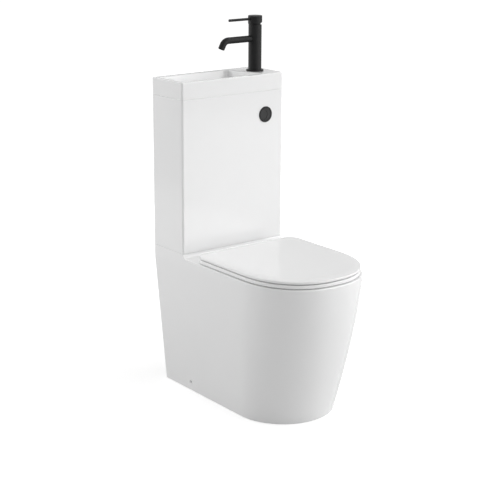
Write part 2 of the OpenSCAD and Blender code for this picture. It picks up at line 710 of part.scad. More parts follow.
tap_hole_r = 17.5;
tap_seal_h = 0.8;
tap_ring_h = 4.7;
tilt_z = tap_h - 26;      // height of the point about which the handle tips
cut_lean = 7;             // lean of the body's top and of the cap's bottom
chamber_z = tilt_z - 32;  // floor of the cartridge's chamber
chamber_r = 15.5;
dome_r = 16.5;
dome_open_r = 10.5;
cap_r = 20.5;
cap_hollow_r = 17.4;
lever_z = tap_h - 9.8;
inlet_x = 6;              // the two supply threads in the foot of the body
inlet_y = 7;
inlet_r = 4.6;
inlet_len = 14;
water_r = 3;
outlet_x = -5;            // way out of the cartridge into the spout
stud_x = -8;
stud_r = 4;
stem_w = 8;
stem_t = 6;
cross_pin_r = 1.5;
rotor_r = 8.5;
spout_wall = 2;
spout_root = 10;          // the spout's socket ends this far from the tap's axis
mouth_len = 11;
aerator_h = 6;
cartridge_r = 13;
cartridge_neck_r = 11.5;
cartridge_top = tilt_z - 12;
stud_depth = 20;
stud_below = 31;          // how far the stud reaches below the ledge
lever_socket = 17.5;      // the lever's socket ends this far from the tap's axis
grub_rise = 5;            // from the grub screw up to the cap's top
module on_tap() at(tap_x, tap_depth, basin_top) children();

module tap_base_seal() color(rubber) on_tap() tube_z(tap_ring_r - 1, tap_hole_r + 0.1, 0, tap_seal_h);
module tap_base_ring() color(matt_black) on_tap() translate([0, 0, tap_seal_h]) rotate_extrude() polygon([
    [tap_body_r + 0.2, 0], [tap_ring_r - 0.6, 0], [tap_ring_r, 0.6],
    [tap_ring_r, tap_ring_h - 1.2], [tap_ring_r - 1, tap_ring_h], [tap_body_r + 0.2, tap_ring_h]
]);
module tap_body() color(matt_black) on_tap() difference() {
    rod_z(tap_body_r, tap_seal_h, tap_h);
    translate([-2 * cap_r, -2 * cap_r, 0]) translate([2 * cap_r, 0, tilt_z - 3.7]) rotate([0, cut_lean, 0])
        translate([-2 * cap_r, 0, 0]) cube([4 * cap_r, 4 * cap_r, tap_h]);
    rod_z(chamber_r, chamber_z, tap_h);
    rod_z(dome_r + 0.4, tilt_z - 8, tap_h);
    translate([0, 0, spout_z]) rod_x(spout_r + run_gap, -tap_body_r - through, -spout_root);
    translate([0, 0, spout_z]) rod_x(spout_r - spout_wall, -spout_root - through, -1);
    translate([outlet_x, 0, 0]) rod_z(water_r + 1, spout_z, chamber_z + through);
    for (side = [-1, 1]) translate([inlet_x, side * inlet_y, 0]) {
        rod_z(inlet_r, 0, tap_seal_h + inlet_len);
        rod_z(water_r, 0, chamber_z + through);
    }
    translate([stud_x, 0, 0]) rod_z(stud_r + run_gap, 0, stud_depth);
}
// Turns its children from the XY plane into the bend's plane, about the bend's centre
module in_bend() translate([-spout_reach, 0, spout_z - spout_bend_r]) rotate([90, 0, 0])
    rotate([0, 0, 90]) children();
// Places its children at the spout's mouth, with Z pointing out of it
module at_mouth() in_bend() rotate([0, 0, spout_bend]) translate([spout_bend_r, mouth_len, 0])
    rotate([-90, 0, 0]) children();
module tap_spout() color(matt_black) on_tap() {
    translate([0, 0, spout_z]) difference() {
        rod_x(spout_r, -spout_reach, -spout_root - 0.5);
        rod_x(spout_r - spout_wall, -spout_reach - through, -spout_root + through);
    }
    in_bend() rotate_extrude(angle = spout_bend) translate([spout_bend_r, 0]) difference() {
        circle(spout_r - 0.02);
        circle(spout_r - spout_wall - 0.02);
    }
    at_mouth() difference() {
        rod_z(spout_r, -mouth_len, 0);
        rod_z(spout_r - spout_wall, -mouth_len - through, 0);
        rod_z(spout_r - 0.9, -aerator_h, through);
    }
}
module aerator() color(grey_plastic) on_tap() at_mouth() difference() {
    rod_z(spout_r - 1, -aerator_h, -0.5);
    for (a = [0:60:300]) rotate([0, 0, a]) translate([4.4, 0, 0]) rod_z(1.3, -aerator_h - through, 0);
    rod_z(1.3, -aerator_h - through, 0);
}
module cartridge() color(white_plastic) on_tap() difference() {
    union() {
        rod_z(cartridge_r, chamber_z, cartridge_top);
        rod_z(cartridge_neck_r, cartridge_top, cartridge_top + 6);
    }
    rod_z(rotor_r + run_gap, tilt_z - 20, tilt_z);
    for (side = [-1, 1]) translate([inlet_x, side * inlet_y, 0]) rod_z(water_r, chamber_z - through, chamber_z + 6);
    translate([outlet_x, 0, 0]) rod_z(water_r, chamber_z - through, chamber_z + 6);
}
module cartridge_nut() color(brass) on_tap() tube_z(chamber_r - thread_gap, cartridge_neck_r + thread_gap, cartridge_top, tilt_z - 8.2);
module tap_dome() color(matt_black) on_tap() difference() {
    translate([0, 0, tilt_z]) sphere(dome_r);
    translate([0, 0, tilt_z]) sphere(dome_r - 1.6);
    rod_z(dome_r * 2, 0, tilt_z - 8);
    rod_z(dome_open_r, 0, tap_h * 2);
}
module cartridge_rotor() color(grey_plastic) on_tap() {
    difference() {
        rod_z(rotor_r, tilt_z - 19.7, tilt_z + 4);
        translate([-rotor_r - through, -stem_t / 2 - 0.2, tilt_z - 12])
            cube([2 * rotor_r + 2 * through, stem_t + 0.4, 20]);
    }
    translate([0, 0, tilt_z]) rod_y(cross_pin_r, -rotor_r + 1, rotor_r - 1);
}
module cartridge_stem() color(steel) on_tap() difference() {
    translate([-stem_w / 2, -stem_t / 2, tilt_z - 10.5]) cube([stem_w, stem_t, tap_h - tilt_z + 8.5]);
    translate([0, 0, tilt_z]) rod_y(cross_pin_r + run_gap, -stem_t, stem_t);
}
module tap_cap() color(matt_black) on_tap() difference() {
    rotate_extrude() polygon([[0, tilt_z], [cap_r, tilt_z], [cap_r, tap_h - 0.8], [cap_r - 0.8, tap_h], [0, tap_h]]);
    translate([0, 0, tilt_z]) sphere(cap_hollow_r);
    rod_z(cap_hollow_r, 0, tilt_z);
    translate([0, 0, tilt_z + 4]) rotate([0, -cut_lean, 0])
        translate([-2 * cap_r, -2 * cap_r, -tap_h]) cube([4 * cap_r, 4 * cap_r, tap_h]);
    translate([-stem_w / 2 - 0.1, -stem_t / 2 - 0.1, tilt_z]) cube([stem_w + 0.2, stem_t + 0.2, tap_h - tilt_z - 1.6]);
    translate([0, 0, lever_z]) rod_x(lever_r + run_gap, -cap_r - through, -lever_socket);
    translate([0, 0, lever_z]) rod_x(3.05, -18, -13);
    translate([0, 0, tap_h - grub_rise]) rod_x(2.05, stem_w / 2, cap_r + through);
}
module tap_lever() color(matt_black) on_tap() translate([0, 0, lever_z]) rotate([0, -90, 0]) rotate_extrude()
    polygon([[0, 13.2], [3, 13.2], [3, 17.6], [lever_r, 17.6], [lever_r, lever_reach - 1],
        [lever_r - 1, lever_reach], [0, lever_reach]]);
module tap_grub_screw() color(steel) on_tap() translate([0, 0, tap_h - grub_rise]) rod_x(2, stem_w / 2 + 0.1, 15);
module tap_stud() color(steel) on_tap() translate([stud_x, 0, 0]) rod_z(stud_r, -ledge_thick - stud_below, stud_depth - 1);
clamp_h = 3;
clamp_r = 22;
clamp_slot = 27;          // width of the horseshoe's opening
clamp_nut_r = 7.5;
clamp_nut_h = 20;
module tap_clamp_washer() color(steel) on_tap() difference() {
    rod_z(clamp_r, -ledge_thick - clamp_h, -ledge_thick);
    translate([stud_x, 0, 0]) rod_z(stud_r + thread_gap, -ledge_thick - 2 * clamp_h, 0);
    translate([0, -clamp_slot / 2, -ledge_thick - 2 * clamp_h]) cube([clamp_r + 8, clamp_slot, 3 * clamp_h]);
}
module tap_clamp_nut() color(brass) on_tap() difference() {
    translate([stud_x, 0, 0]) hex_z(clamp_nut_r, -ledge_thick - clamp_h - clamp_nut_h, -ledge_thick - clamp_h);
    translate([stud_x, 0, 0]) rod_z(stud_r + thread_gap, -ledge_thick - 2 * clamp_nut_h, 0);
}

// ---------------------------------------------------------------- basin waste

waste_flange_r = 29;
waste_tail_r = 20.9;
waste_seal_h = 3;
waste_under = recess_floor_z - basin_wall;
waste_tail_h = 26;        // length of the threaded tail below the basin
waste_nut_h = 8;
grid_hole_r = 4;
drip_cup_r = 24;
drip_cup_h = 13;
drip_r = 16;
drip_bore_r = 14;
drip_end = 85;            // lower end of the drip pipe, below the basin
module on_waste() at(waste_x, flush_depth, 0) children();
module basin_waste() color(steel) on_waste() difference() {
    union() {
        rod_z(waste_flange_r, recess_floor_z + 1, recess_floor_z + 3);
        rod_z(waste_tail_r, waste_under - waste_tail_h, recess_floor_z + 2);
    }
    rod_z(waste_tail_r - 2.5, waste_under - waste_tail_h - through, recess_floor_z);
    for (a = [0:60:300]) rotate([0, 0, a]) translate([11, 0, 0])
        rod_z(grid_hole_r, recess_floor_z - 5, recess_floor_z + 5);
    rod_z(grid_hole_r, recess_floor_z - 5, recess_floor_z + 5);
}
module waste_seals() color(rubber) on_waste() {
    tube_z(waste_flange_r - 1, waste_tail_r + thread_gap, recess_floor_z, recess_floor_z + 1);
    tube_z(waste_flange_r - 1, waste_tail_r + thread_gap, waste_under - waste_seal_h, waste_under);
}
module waste_nut() color(brass) on_waste() difference() {
    hex_z(waste_flange_r, waste_under - waste_seal_h - waste_nut_h, waste_under - waste_seal_h);
    rod_z(waste_tail_r + thread_gap, waste_under - waste_seal_h - waste_nut_h - through, waste_under);
}
module waste_pipe() color(grey_plastic) on_waste() {
    cup_floor = waste_under - waste_tail_h;
    tube_z(drip_cup_r, waste_tail_r + thread_gap, cup_floor, cup_floor + drip_cup_h);
    tube_z(drip_cup_r, drip_bore_r, cup_floor - 3, cup_floor);
    tube_z(drip_r, drip_bore_r, waste_under - drip_end, cup_floor - 3);
}

// ---------------------------------------------------------------- fill valve

fill_flange_r = 18;
fill_nut_r = 17;
fill_nut_h = 12;
fill_column_r = 13;
tank_washer_h = 3;
float_r = 32;
float_h = 60;
float_z = tank_floor + float_up;
float_travel = 12;
head_z = float_z + float_h + 40;
lever_arm = 38;
float_rod_x = 26;
lever_pivot_x = float_rod_x - lever_arm;
lever_rise = 35;          // from the valve's head up to the lever's pivot
lever_pin_r = 1.5;
fork_gap = 6;             // from the lever's middle to the middle of each cheek
fill_tail_h = 38;         // length of the threaded tail below the deck
fill_bore_r = 6;
fill_head_r = 20;
fill_head_h = 30;
module on_fill() at(fill_x, flush_depth, 0) children();
module fill_valve() color(grey_plastic) on_fill() difference() {
    union() {
        rod_z(fill_tail_r, deck_z - fill_tail_h, deck_z - fill_nut_h);
        rod_z(fill_tail_r - thread_gap, deck_z - fill_nut_h - 1, valve_z + 1);
        rod_z(fill_flange_r, valve_z, valve_z + 4);
        rod_z(fill_column_r, valve_z, head_z);
        rod_z(fill_flange_r, float_z - 6, float_z - part_gap);
        rod_z(fill_head_r, head_z, head_z + fill_head_h);
        for (side = [-1, 1])
            translate([lever_pivot_x - 4, side * fork_gap - 1.5, head_z + fill_head_h - 1]) cube([8, 3, 11]);
        translate([lever_pivot_x, 0, head_z + lever_rise]) rod_y(lever_pin_r, -fork_gap, fork_gap);
    }
    rod_z(fill_bore_r, deck_z - fill_tail_h - through, head_z - 10);
}
module fill_valve_nut() color(grey_plastic) on_fill() difference() {
    hex_z(fill_nut_r, deck_z - fill_nut_h, deck_z);
    rod_z(fill_tail_r + thread_gap, deck_z - fill_nut_h - through, deck_z + through);
}
module fill_float() color(white_plastic) on_fill() {
    difference() {
        rod_z(float_r, float_z, float_z + float_h);
        rod_z(fill_column_r + part_gap, float_z - through, float_z + float_h + through);
        tube_z(float_r - 2.5, fill_column_r + 3, float_z - through, float_z + float_h - 3);
    }
    translate([float_rod_x, 0, 0]) rod_z(2, float_z + float_h - 1, head_z + lever_rise - 2.5);
}
module fill_lever() color(blue_plastic) on_fill() translate([lever_pivot_x, 0, head_z + lever_rise]) difference() {
    union() {
        translate([0, -4, -2]) cube([lever_arm + 4, 8, 4]);
        rod_y(3.5, -4, 4);
    }
    rod_y(lever_pin_r + run_gap, -5, 5);
}

// ---------------------------------------------------------------- flush valve

flush_nut_r = 42;
valve_z = tank_floor + tank_washer_h;
flush_tail_h = 22;        // length of the threaded outlet below the deck
flush_flange_r = 40;
flush_bore_r = 25;
cage_r = 36;
cage_wall = 3;
cage_h = 110;
window_h = 45;
window_w = 20;
window_from = 20;         // where the windows' cuts start, from the axis
window_cut = 30;
plunger_r = 14;
plunger_wall = 3;
plunger_disc_r = 30;
guide_h = 214;
guide_room = 20;          // how far the plunger's bore runs into the actuator
guide_top = valve_z + guide_h;
actuator_r = 22;
actuator_h = 32;
nipple_x = 8;
nipple_r = 2.4;
nipple_len = 5;
module on_flush() at(0, flush_depth, 0) children();
module tank_washers() color(rubber) {
    on_flush() tube_z(flush_flange_r, flush_tail_r + thread_gap, tank_floor, valve_z);
    on_fill() tube_z(fill_flange_r, fill_tail_r + thread_gap, tank_floor, valve_z);
}
module flush_valve() color(grey_plastic) on_flush() difference() {
    union() {
        rod_z(flush_tail_r, deck_z - flush_tail_h, valve_z + 1);
        rod_z(flush_flange_r, valve_z, valve_z + 5);
        rod_z(cage_r, valve_z + 4, valve_z + cage_h);
        rod_z(plunger_r + cage_wall, valve_z + cage_h - 1, guide_top);
        rod_z(actuator_r, guide_top, guide_top + actuator_h);
        for (side = [-1, 1]) translate([nipple_x * side, 0, 0])
            rod_z(nipple_r, guide_top + actuator_h - 1, guide_top + actuator_h + nipple_len - 1);
    }
    rod_z(flush_bore_r, deck_z - flush_tail_h - through, valve_z + 6);
    rod_z(cage_r - cage_wall, valve_z + 5, valve_z + cage_h - 4);
    rod_z(plunger_r + part_gap, valve_z + cage_h - 10, guide_top + guide_room);
    for (a = [45:90:315]) rotate([0, 0, a]) translate([window_from, -window_w / 2, valve_z + 8])
        cube([window_cut, window_w, window_h]);
}
module flush_valve_nut() color(grey_plastic) on_flush()
    tube_z(flush_nut_r, flush_tail_r + thread_gap, deck_z - 12, deck_z);
module flush_plunger() color(blue_plastic) on_flush() difference() {
    union() {
        rod_z(plunger_r, valve_z + 9, guide_top - 10);
        rod_z(plunger_disc_r, valve_z + 9, valve_z + 13);
    }
    rod_z(plunger_r - plunger_wall, valve_z, guide_top);
}
module flush_seal() color(rubber) on_flush() tube_z(plunger_disc_r + 1, plunger_r - plunger_wall, valve_z + 5 + part_gap, valve_z + 9);

// ---------------------------------------------------------------- flush button

button_sleeve_r = button_r - 2.5;
button_bore_r = button_sleeve_r - 1.5;
bezel_proud = 2;
bezel_back = 26;
button_travel = 6;
split_x = -12;            // centre of the arc that parts the two buttons
split_r = 20;
full_x = -6;
half_x = 13.5;
button_face = 1.5;        // half of the buttons' thickness
module on_button() at(button_x, cistern_d, deck_z + button_up) children();
// A flat shape in the button's plane, from depth y1 to y2 into the cistern
module pressed(y1, y2) translate([0, y2, 0]) rotate([90, 0, 0]) linear_extrude(y2 - y1) children();
module button_bezel() color(matt_black) on_button() difference() {
    union() {
        rotate([90, 0, 0]) rotate_extrude() polygon([
            [button_bore_r, 0], [button_r, 0], [button_r, bezel_proud - 0.7],
            [button_r - 0.7, bezel_proud], [button_bore_r, bezel_proud]
        ]);
        rod_y(button_sleeve_r, -0.01, bezel_back);
        for (x = [full_x, half_x]) translate([x, 0, 0]) rod_y(nipple_r, bezel_back - 1, bezel_back + nipple_len);
    }
    rod_y(button_bore_r, -bezel_proud - through, bezel_back - 2);
}
module button_full() color([0.22, 0.22, 0.22]) on_button() {
    pressed(-button_face, button_face) intersection() {
        circle(button_bore_r - 0.4);
        translate([split_x, 0]) circle(split_r);
    }
    translate([full_x, 0, 0]) rod_y(3, 1.4, 6);
}
module button_half() color([0.22, 0.22, 0.22]) on_button() {
    pressed(-button_face, button_face) difference() {
        circle(button_bore_r - 0.4);
        translate([split_x, 0]) circle(split_r + 0.5);
    }
    translate([half_x, 0, 0]) rod_y(2, 1.4, 6);
}
// Air bellows behind each button, which push it out again
module bellows(x, r) translate([x, 0, 0]) rotate([-90, 0, 0]) rotate_extrude() polygon(concat(
    [[0, 6], [r, 6]],
    [for (i = [0:3]) for (t = [0, 1]) [t == 0 ? r - 1.6 : r, 8 + 4 * i + 2 * t]],
    [[0, bezel_back - 2]]
));
module button_bellows() color(rubber) on_button() {
    bellows(full_x, 7.5);
    bellows(half_x, 5);
}
module button_lock_nut() color(grey_plastic) on_button()
    tube_y(lock_nut_r, button_sleeve_r + thread_gap, cistern_wall, cistern_wall + 6);
// Air hoses from the bezel's nipples to those on the flush valve: side distance, depth,
// height above the button's middle
hose_r = 2.5;
hose_start = deck_z + button_up;
hose_end = guide_top + actuator_h + nipple_len - 1;
hose_start_depth = cistern_d - bezel_back - nipple_len;
full_route = [
    [button_x + full_x, hose_start_depth, 0], [button_x + full_x, 108, 0],
    [106, 99, -1.5], [90, 91, -6.5], [68, 85, -16.5], [46, 80, -32.5], [26, 77, -54.5],
    [13, 75.5, -78.5], [nipple_x, flush_depth, -98.5],
    [nipple_x, flush_depth, hose_end - hose_start]
];
half_route = [
    [button_x + half_x, hose_start_depth, 0], [button_x + half_x, 107, 0],
    [125, 99, -4.5], [107, 95, -14.5], [82, 92, -30.5], [56, 89, -48.5], [30, 85, -66.5],
    [8, 80, -81.5], [-5, 76, -96.5], [-nipple_x, flush_depth, -106.5],
    [-nipple_x, flush_depth, hose_end - hose_start]
];
module air_hoses() color(grey_plastic) for (route = [full_route, half_route])
    swept([for (p = route) [p[0], -p[1], hose_start + p[2]]], hose_r, 8);

// ---------------------------------------------------------------- pieces

pan();
cistern();
basin();
coupling_seal();
cistern_bolts();
cistern_bolt_seals();
cistern_bolt_washers();
cistern_wing_nuts();
floor_brackets();
side_screws();
seat();
seat_buffers();
seat_damper();
lid();
lid_buffers();
lid_damper();
hinge_posts();
hinge_pins();
hinge_bolts();
hinge_sleeves();
hinge_wing_nuts();
tap_body();
tap_base_ring();
tap_base_seal();
tap_spout();
aerator();
cartridge();
cartridge_nut();
tap_dome();
cartridge_rotor();
cartridge_stem();
tap_cap();
tap_lever();
tap_grub_screw();
tap_stud();
tap_clamp_washer();
tap_clamp_nut();
basin_waste();
waste_seals();
waste_nut();
waste_pipe();
fill_valve();
fill_valve_nut();
fill_float();
fill_lever();
flush_valve();
flush_valve_nut();
flush_plunger();
flush_seal();
tank_washers();
button_bezel();
button_full();
button_half();
button_bellows();
button_lock_nut();
air_hoses();
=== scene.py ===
"""Looks of a close coupled toilet with a hand basin on top of its cistern.

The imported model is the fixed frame. The ceramic, the seat, the lid, the tap, the flush
button and the threaded fittings are made again here at a finer resolution, from the same
sizes, and every other piece keeps its solid and gets its own finish. Sizes are in
millimetres, as a maker writes them, and are turned into metres where a mesh is made.
"""

from __future__ import annotations

import logging
import math
from dataclasses import dataclass
from enum import Enum
from functools import cache
from typing import Callable, Iterable, Sequence, Union

import bmesh
import bpy
import numpy as np
from mathutils import Matrix, Vector

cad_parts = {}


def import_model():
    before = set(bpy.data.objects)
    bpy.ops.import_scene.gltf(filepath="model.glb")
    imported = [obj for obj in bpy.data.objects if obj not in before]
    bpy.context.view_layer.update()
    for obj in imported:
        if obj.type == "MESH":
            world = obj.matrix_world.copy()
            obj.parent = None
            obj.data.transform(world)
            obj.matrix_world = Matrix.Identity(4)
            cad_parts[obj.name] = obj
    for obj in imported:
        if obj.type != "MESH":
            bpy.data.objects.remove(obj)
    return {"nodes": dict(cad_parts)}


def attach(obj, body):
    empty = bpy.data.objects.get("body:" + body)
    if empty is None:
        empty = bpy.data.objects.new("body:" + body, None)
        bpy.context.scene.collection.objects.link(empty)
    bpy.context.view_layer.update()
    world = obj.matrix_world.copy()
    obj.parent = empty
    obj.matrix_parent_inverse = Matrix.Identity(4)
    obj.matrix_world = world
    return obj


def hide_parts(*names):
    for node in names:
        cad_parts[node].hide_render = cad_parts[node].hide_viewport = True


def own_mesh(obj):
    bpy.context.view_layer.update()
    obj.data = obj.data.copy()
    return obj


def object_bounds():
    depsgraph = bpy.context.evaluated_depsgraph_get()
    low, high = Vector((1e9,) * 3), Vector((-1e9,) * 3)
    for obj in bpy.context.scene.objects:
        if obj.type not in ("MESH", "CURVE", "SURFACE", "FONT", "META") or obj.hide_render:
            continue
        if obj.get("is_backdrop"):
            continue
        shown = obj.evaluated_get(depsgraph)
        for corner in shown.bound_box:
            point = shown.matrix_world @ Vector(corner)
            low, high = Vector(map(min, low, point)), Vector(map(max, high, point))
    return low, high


LOG = logging.getLogger("toilet")
MM = 0.001
Point2 = tuple[float, float]
Point3 = tuple[float, float, float]
Piece = bpy.types.Object
Material = bpy.types.Material
Socket = bpy.types.NodeSocket
Value = Union["Field", Socket, float, Sequence[float]]


# ------------------------------------------------------------------ plain geometry


def mixed(a: float, b: float, t: float) -> float:
    """Returns the value a share t of the way from a to b."""
    return a + (b - a) * t


def turns(start: float, end: float, steps: int) -> list[float]:
    """Returns steps + 1 angles in radians from start to end, given in degrees."""
    return [math.radians(mixed(start, end, i / steps)) for i in range(steps + 1)]


def quarter(radius: float, steps: int, end: float = 90.0) -> list[Point2]:
    """Returns how far in from its side and down from its top a rounded edge lies, from the side up."""
    return [(radius * (1 - math.cos(a)), radius * (1 - math.sin(a))) for a in turns(0, end, steps)]


def bow(radius: float, start: float, end: float, steps: int, x: float = 0.0, y: float = 0.0) -> list[Point2]:
    """Returns points on an arc about a centre, between two angles in degrees."""
    return [(x + radius * math.cos(a), y + radius * math.sin(a)) for a in turns(start, end, steps)]


def fillet(points: Sequence[Point2], radii: Sequence[float], steps: int = 6) -> list[Point2]:
    """Rounds the corners of an open chain of points.

    Args:
        points: The chain.
        radii: One radius a point; 0 keeps the corner sharp.
        steps: Segments in each arc.

    Returns:
        The chain with an arc in place of each rounded corner.
    """
    out = [points[0]]
    for before, here, after, radius in zip(points, points[1:], points[2:], radii[1:]):
        if radius <= 0:
            out.append(here)
            continue
        corner = Vector(here)
        back, ahead = (Vector(before) - corner).normalized(), (Vector(after) - corner).normalized()
        half = back.angle(ahead) / 2
        middle = corner + (back + ahead).normalized() * (radius / math.sin(half))
        start, end = (corner + way * (radius / math.tan(half)) - middle for way in (back, ahead))
        sweep = math.copysign(start.angle(end), start.x * end.y - start.y * end.x)
        for k in range(steps + 1):
            c, s = math.cos(sweep * k / steps), math.sin(sweep * k / steps)
            way = Vector((start.x * c - start.y * s, start.x * s + start.y * c))
            out.append((middle.x + way.x, middle.y + way.y))
    return out + [points[-1]]


def smooth_rows(rows: Sequence[Sequence[float]], count: int) -> list[list[float]]:
    """Samples a smooth curve through rows of numbers evenly, the first and the last row among them."""
    knots = np.array(rows, dtype=float)
    last = len(knots) - 1
    out = []
    for at in (last * k / (count - 1) for k in range(count)):
        i = min(int(at), last - 1)
        t = at - i
        p1, p2 = knots[i], knots[i + 1]
        p0 = knots[i - 1] if i > 0 else 2 * p1 - p2
        p3 = knots[i + 2] if i + 2 <= last else 2 * p2 - p1
        out.append(list(0.5 * (2 * p1 + (p2 - p0) * t + (2 * p0 - 5 * p1 + 4 * p2 - p3) * t * t
                               + (3 * p1 - p0 - 3 * p2 + p3) * t ** 3)))
    return out


def level(points: Iterable[Point2], z: float) -> np.ndarray:
    """Returns a level ring through points at a height."""
    return np.array([(x, y, z) for x, y in points])


def oval(wide: float, long: float, depth: float, z: float, power: float, count: int) -> np.ndarray:
    """Returns a ring on a superellipse with half sizes wide and long round a depth."""
    a = np.arange(count) * 2 * math.pi / count
    c, s = np.cos(a), np.sin(a)
    x = wide * np.sign(c) * np.abs(c) ** (2 / power)
    y = -depth + long * np.sign(s) * np.abs(s) ** (2 / power)
    return np.stack([x, y, np.full(count, z)], axis=1)


def circle(radius: float, sides: int, z: float = 0.0) -> np.ndarray:
    """Returns a level ring about the Z axis."""
    a = np.arange(sides) * 2 * math.pi / sides
    return np.stack([radius * np.cos(a), radius * np.sin(a), np.full(sides, z)], axis=1)


# ------------------------------------------------------------------ meshes


class Cut(Enum):
    """What a second solid does to a first."""

    AWAY = "DIFFERENCE"
    JOIN = "UNION"


class Caps(Enum):
    """How a chain of rings ends: closed at both ends, or joined into a loop."""

    FLAT = "flat"
    LOOP = "loop"


def linked(name: str, data: bpy.types.ID) -> Piece:
    """Makes an object from its data and links it to the scene at the origin."""
    made = bpy.data.objects.new(name, data)
    bpy.context.collection.objects.link(made)
    return made


def welded(mesh: bpy.types.Mesh, near: float, outward: bool) -> None:
    """Merges a mesh's close corners.

    Args:
        mesh: The mesh.
        near: How close corners are to be merged, in metres.
        outward: Whether its faces are then turned outwards, or else its empty ones dropped.
    """
    shape = bmesh.new()
    shape.from_mesh(mesh)
    bmesh.ops.remove_doubles(shape, verts=shape.verts, dist=near)
    if outward:
        bmesh.ops.recalc_face_normals(shape, faces=shape.faces)
    else:
        bmesh.ops.dissolve_degenerate(shape, edges=shape.edges, dist=near)
    shape.to_mesh(mesh)
    shape.free()


@dataclass
class Solid:
    """A closed mesh in millimetres, before it becomes an object.

    Attributes:
        points: The corners, one row each.
        faces: The faces, as lists of corner numbers.
    """

    points: np.ndarray
    faces: list[list[int]]

    @classmethod
    def loft(cls, rings: Sequence[np.ndarray], caps: Caps = Caps.FLAT) -> "Solid":
        """Joins rings that hold the same number of corners."""
        n, k = len(rings[0]), len(rings)
        faces = [[j * n + i, j * n + (i + 1) % n, (j + 1) % k * n + (i + 1) % n, (j + 1) % k * n + i]
                 for j in range(k if caps is Caps.LOOP else k - 1) for i in range(n)]
        if caps is Caps.FLAT:
            faces += [list(range(n - 1, -1, -1)), list(range((k - 1) * n, k * n))]
        return cls(np.concatenate(rings), faces)

    @classmethod
    def lathe(cls, profile: Sequence[Point2], sides: int = 96) -> "Solid":
        """Turns a closed outline of radius and height about the Z axis."""
        return cls.loft([circle(max(r, 0.02), sides, z) for r, z in profile], Caps.LOOP)

    @classmethod
    def box(cls, low: Sequence[float], high: Sequence[float]) -> "Solid":
        """Returns a box between two corners."""
        corners = [(low[0], low[1]), (high[0], low[1]), (high[0], high[1]), (low[0], high[1])]
        return cls.loft([level(corners, z) for z in (low[2], high[2])])

    @classmethod
    def rod(cls, radius: float, low: float, high: float, sides: int = 64) -> "Solid":
        """Returns an upright cylinder about the Z axis."""
        return cls.loft([circle(radius, sides, z) for z in (low, high)])

    @classmethod
    def sweep(cls, path: np.ndarray, radii: Sequence[float], sides: int, caps: Caps = Caps.FLAT,
              ahead: np.ndarray | None = None) -> "Solid":
        """Carries a circle along a path in a plane across X or across Y.

        Args:
            path: Points, one row each.
            radii: The circle's radius at each point.
            sides: Corners of the circle.
            caps: How the ends close.
            ahead: The circle's direction at each point, if not the path's own.

        Returns:
            The swept solid.
        """
        ahead = np.gradient(path, axis=0) if ahead is None else ahead
        ahead = ahead / np.linalg.norm(ahead, axis=1)[:, None]
        across = np.array([0.0, 1.0, 0.0] if np.ptp(path[:, 0]) > np.ptp(path[:, 1]) else [1.0, 0.0, 0.0])
        a = np.arange(sides)[:, None] * 2 * math.pi / sides
        rings = []
        for point, d, r in zip(path, ahead, radii):
            u = np.cross(d, across)
            u /= np.linalg.norm(u)
            rings.append(point + r * (np.cos(a) * np.cross(u, d) + np.sin(a) * u))
        return cls.loft(rings, caps)

    def moved(self, x: float = 0.0, y: float = 0.0, z: float = 0.0) -> "Solid":
        """Returns a copy, moved."""
        return Solid(self.points + [x, y, z], self.faces)

    def carried(self, place: Matrix) -> "Solid":
        """Returns a copy, turned and moved by a matrix in millimetres."""
        return Solid(self.points @ np.array(place.to_3x3()).T + list(place.translation), self.faces)

    def turned(self, axis: str, degrees: float = 90.0) -> "Solid":
        """Returns a copy, turned about an axis through the origin."""
        return self.carried(Matrix.Rotation(math.radians(degrees), 4, axis))

    def plus(self, other: "Solid") -> "Solid":
        """Returns two solids side by side in one mesh."""
        n = len(self.points)
        faces = self.faces + [[i + n for i in face] for face in other.faces]
        return Solid(np.concatenate([self.points, other.points]), faces)

    def both(self) -> "Solid":
        """Returns the solid and its mirror image on the other side together."""
        return self.plus(Solid(self.points * [-1, 1, 1], [f[::-1] for f in self.faces]))

    def made(self, name: str, material: Material) -> Piece:
        """Turns the solid into an object in metres, in one material, with its faces outwards."""
        mesh = bpy.data.meshes.new(name)
        mesh.from_pydata((self.points * MM).tolist(), [], self.faces)
        welded(mesh, 1e-7, outward=True)
        mesh.materials.append(material)
        return linked(name, mesh)


def settle(piece: Piece) -> Piece:
    """Applies a piece's modifiers, so that it is a plain mesh."""
    graph = bpy.context.evaluated_depsgraph_get()
    mesh = bpy.data.meshes.new_from_object(
        piece.evaluated_get(graph), preserve_all_data_layers=True, depsgraph=graph)
    piece.modifiers.clear()
    old, piece.data = piece.data, mesh
    bpy.data.meshes.remove(old)
    return piece


def carve(piece: Piece, *tools: tuple[Cut, Piece]) -> Piece:
    """Cuts tools away from a piece, or joins them to it, one after the other.

    Args:
        piece: The object that is changed.
        tools: What each tool does, and its object, which is used up.

    Returns:
        The piece as a plain mesh.
    """
    for cut, tool in tools:
        before = len(piece.data.polygons)
        for solver in ("MANIFOLD", "EXACT"):
            step = piece.modifiers.new("carve", "BOOLEAN")
            step.operation, step.object, step.solver = cut.value, tool, solver
            if solver == "EXACT":
                step.material_mode = "TRANSFER"
            result = piece.evaluated_get(bpy.context.evaluated_depsgraph_get())
            if len(result.data.polygons) not in (0, before):
                break
            piece.modifiers.clear()
        settle(piece)
        bpy.data.objects.remove(tool)
    return piece


def softened(piece: Piece, width: float, segments: int = 3) -> Piece:
    """Rounds the sharp edges of a piece by a width in millimetres."""
    step = piece.modifiers.new("edge", "BEVEL")
    step.width, step.segments = width * MM, segments
    step.limit_method, step.angle_limit = "ANGLE", math.radians(40.0)
    step.use_clamp_overlap = True
    return settle(piece)


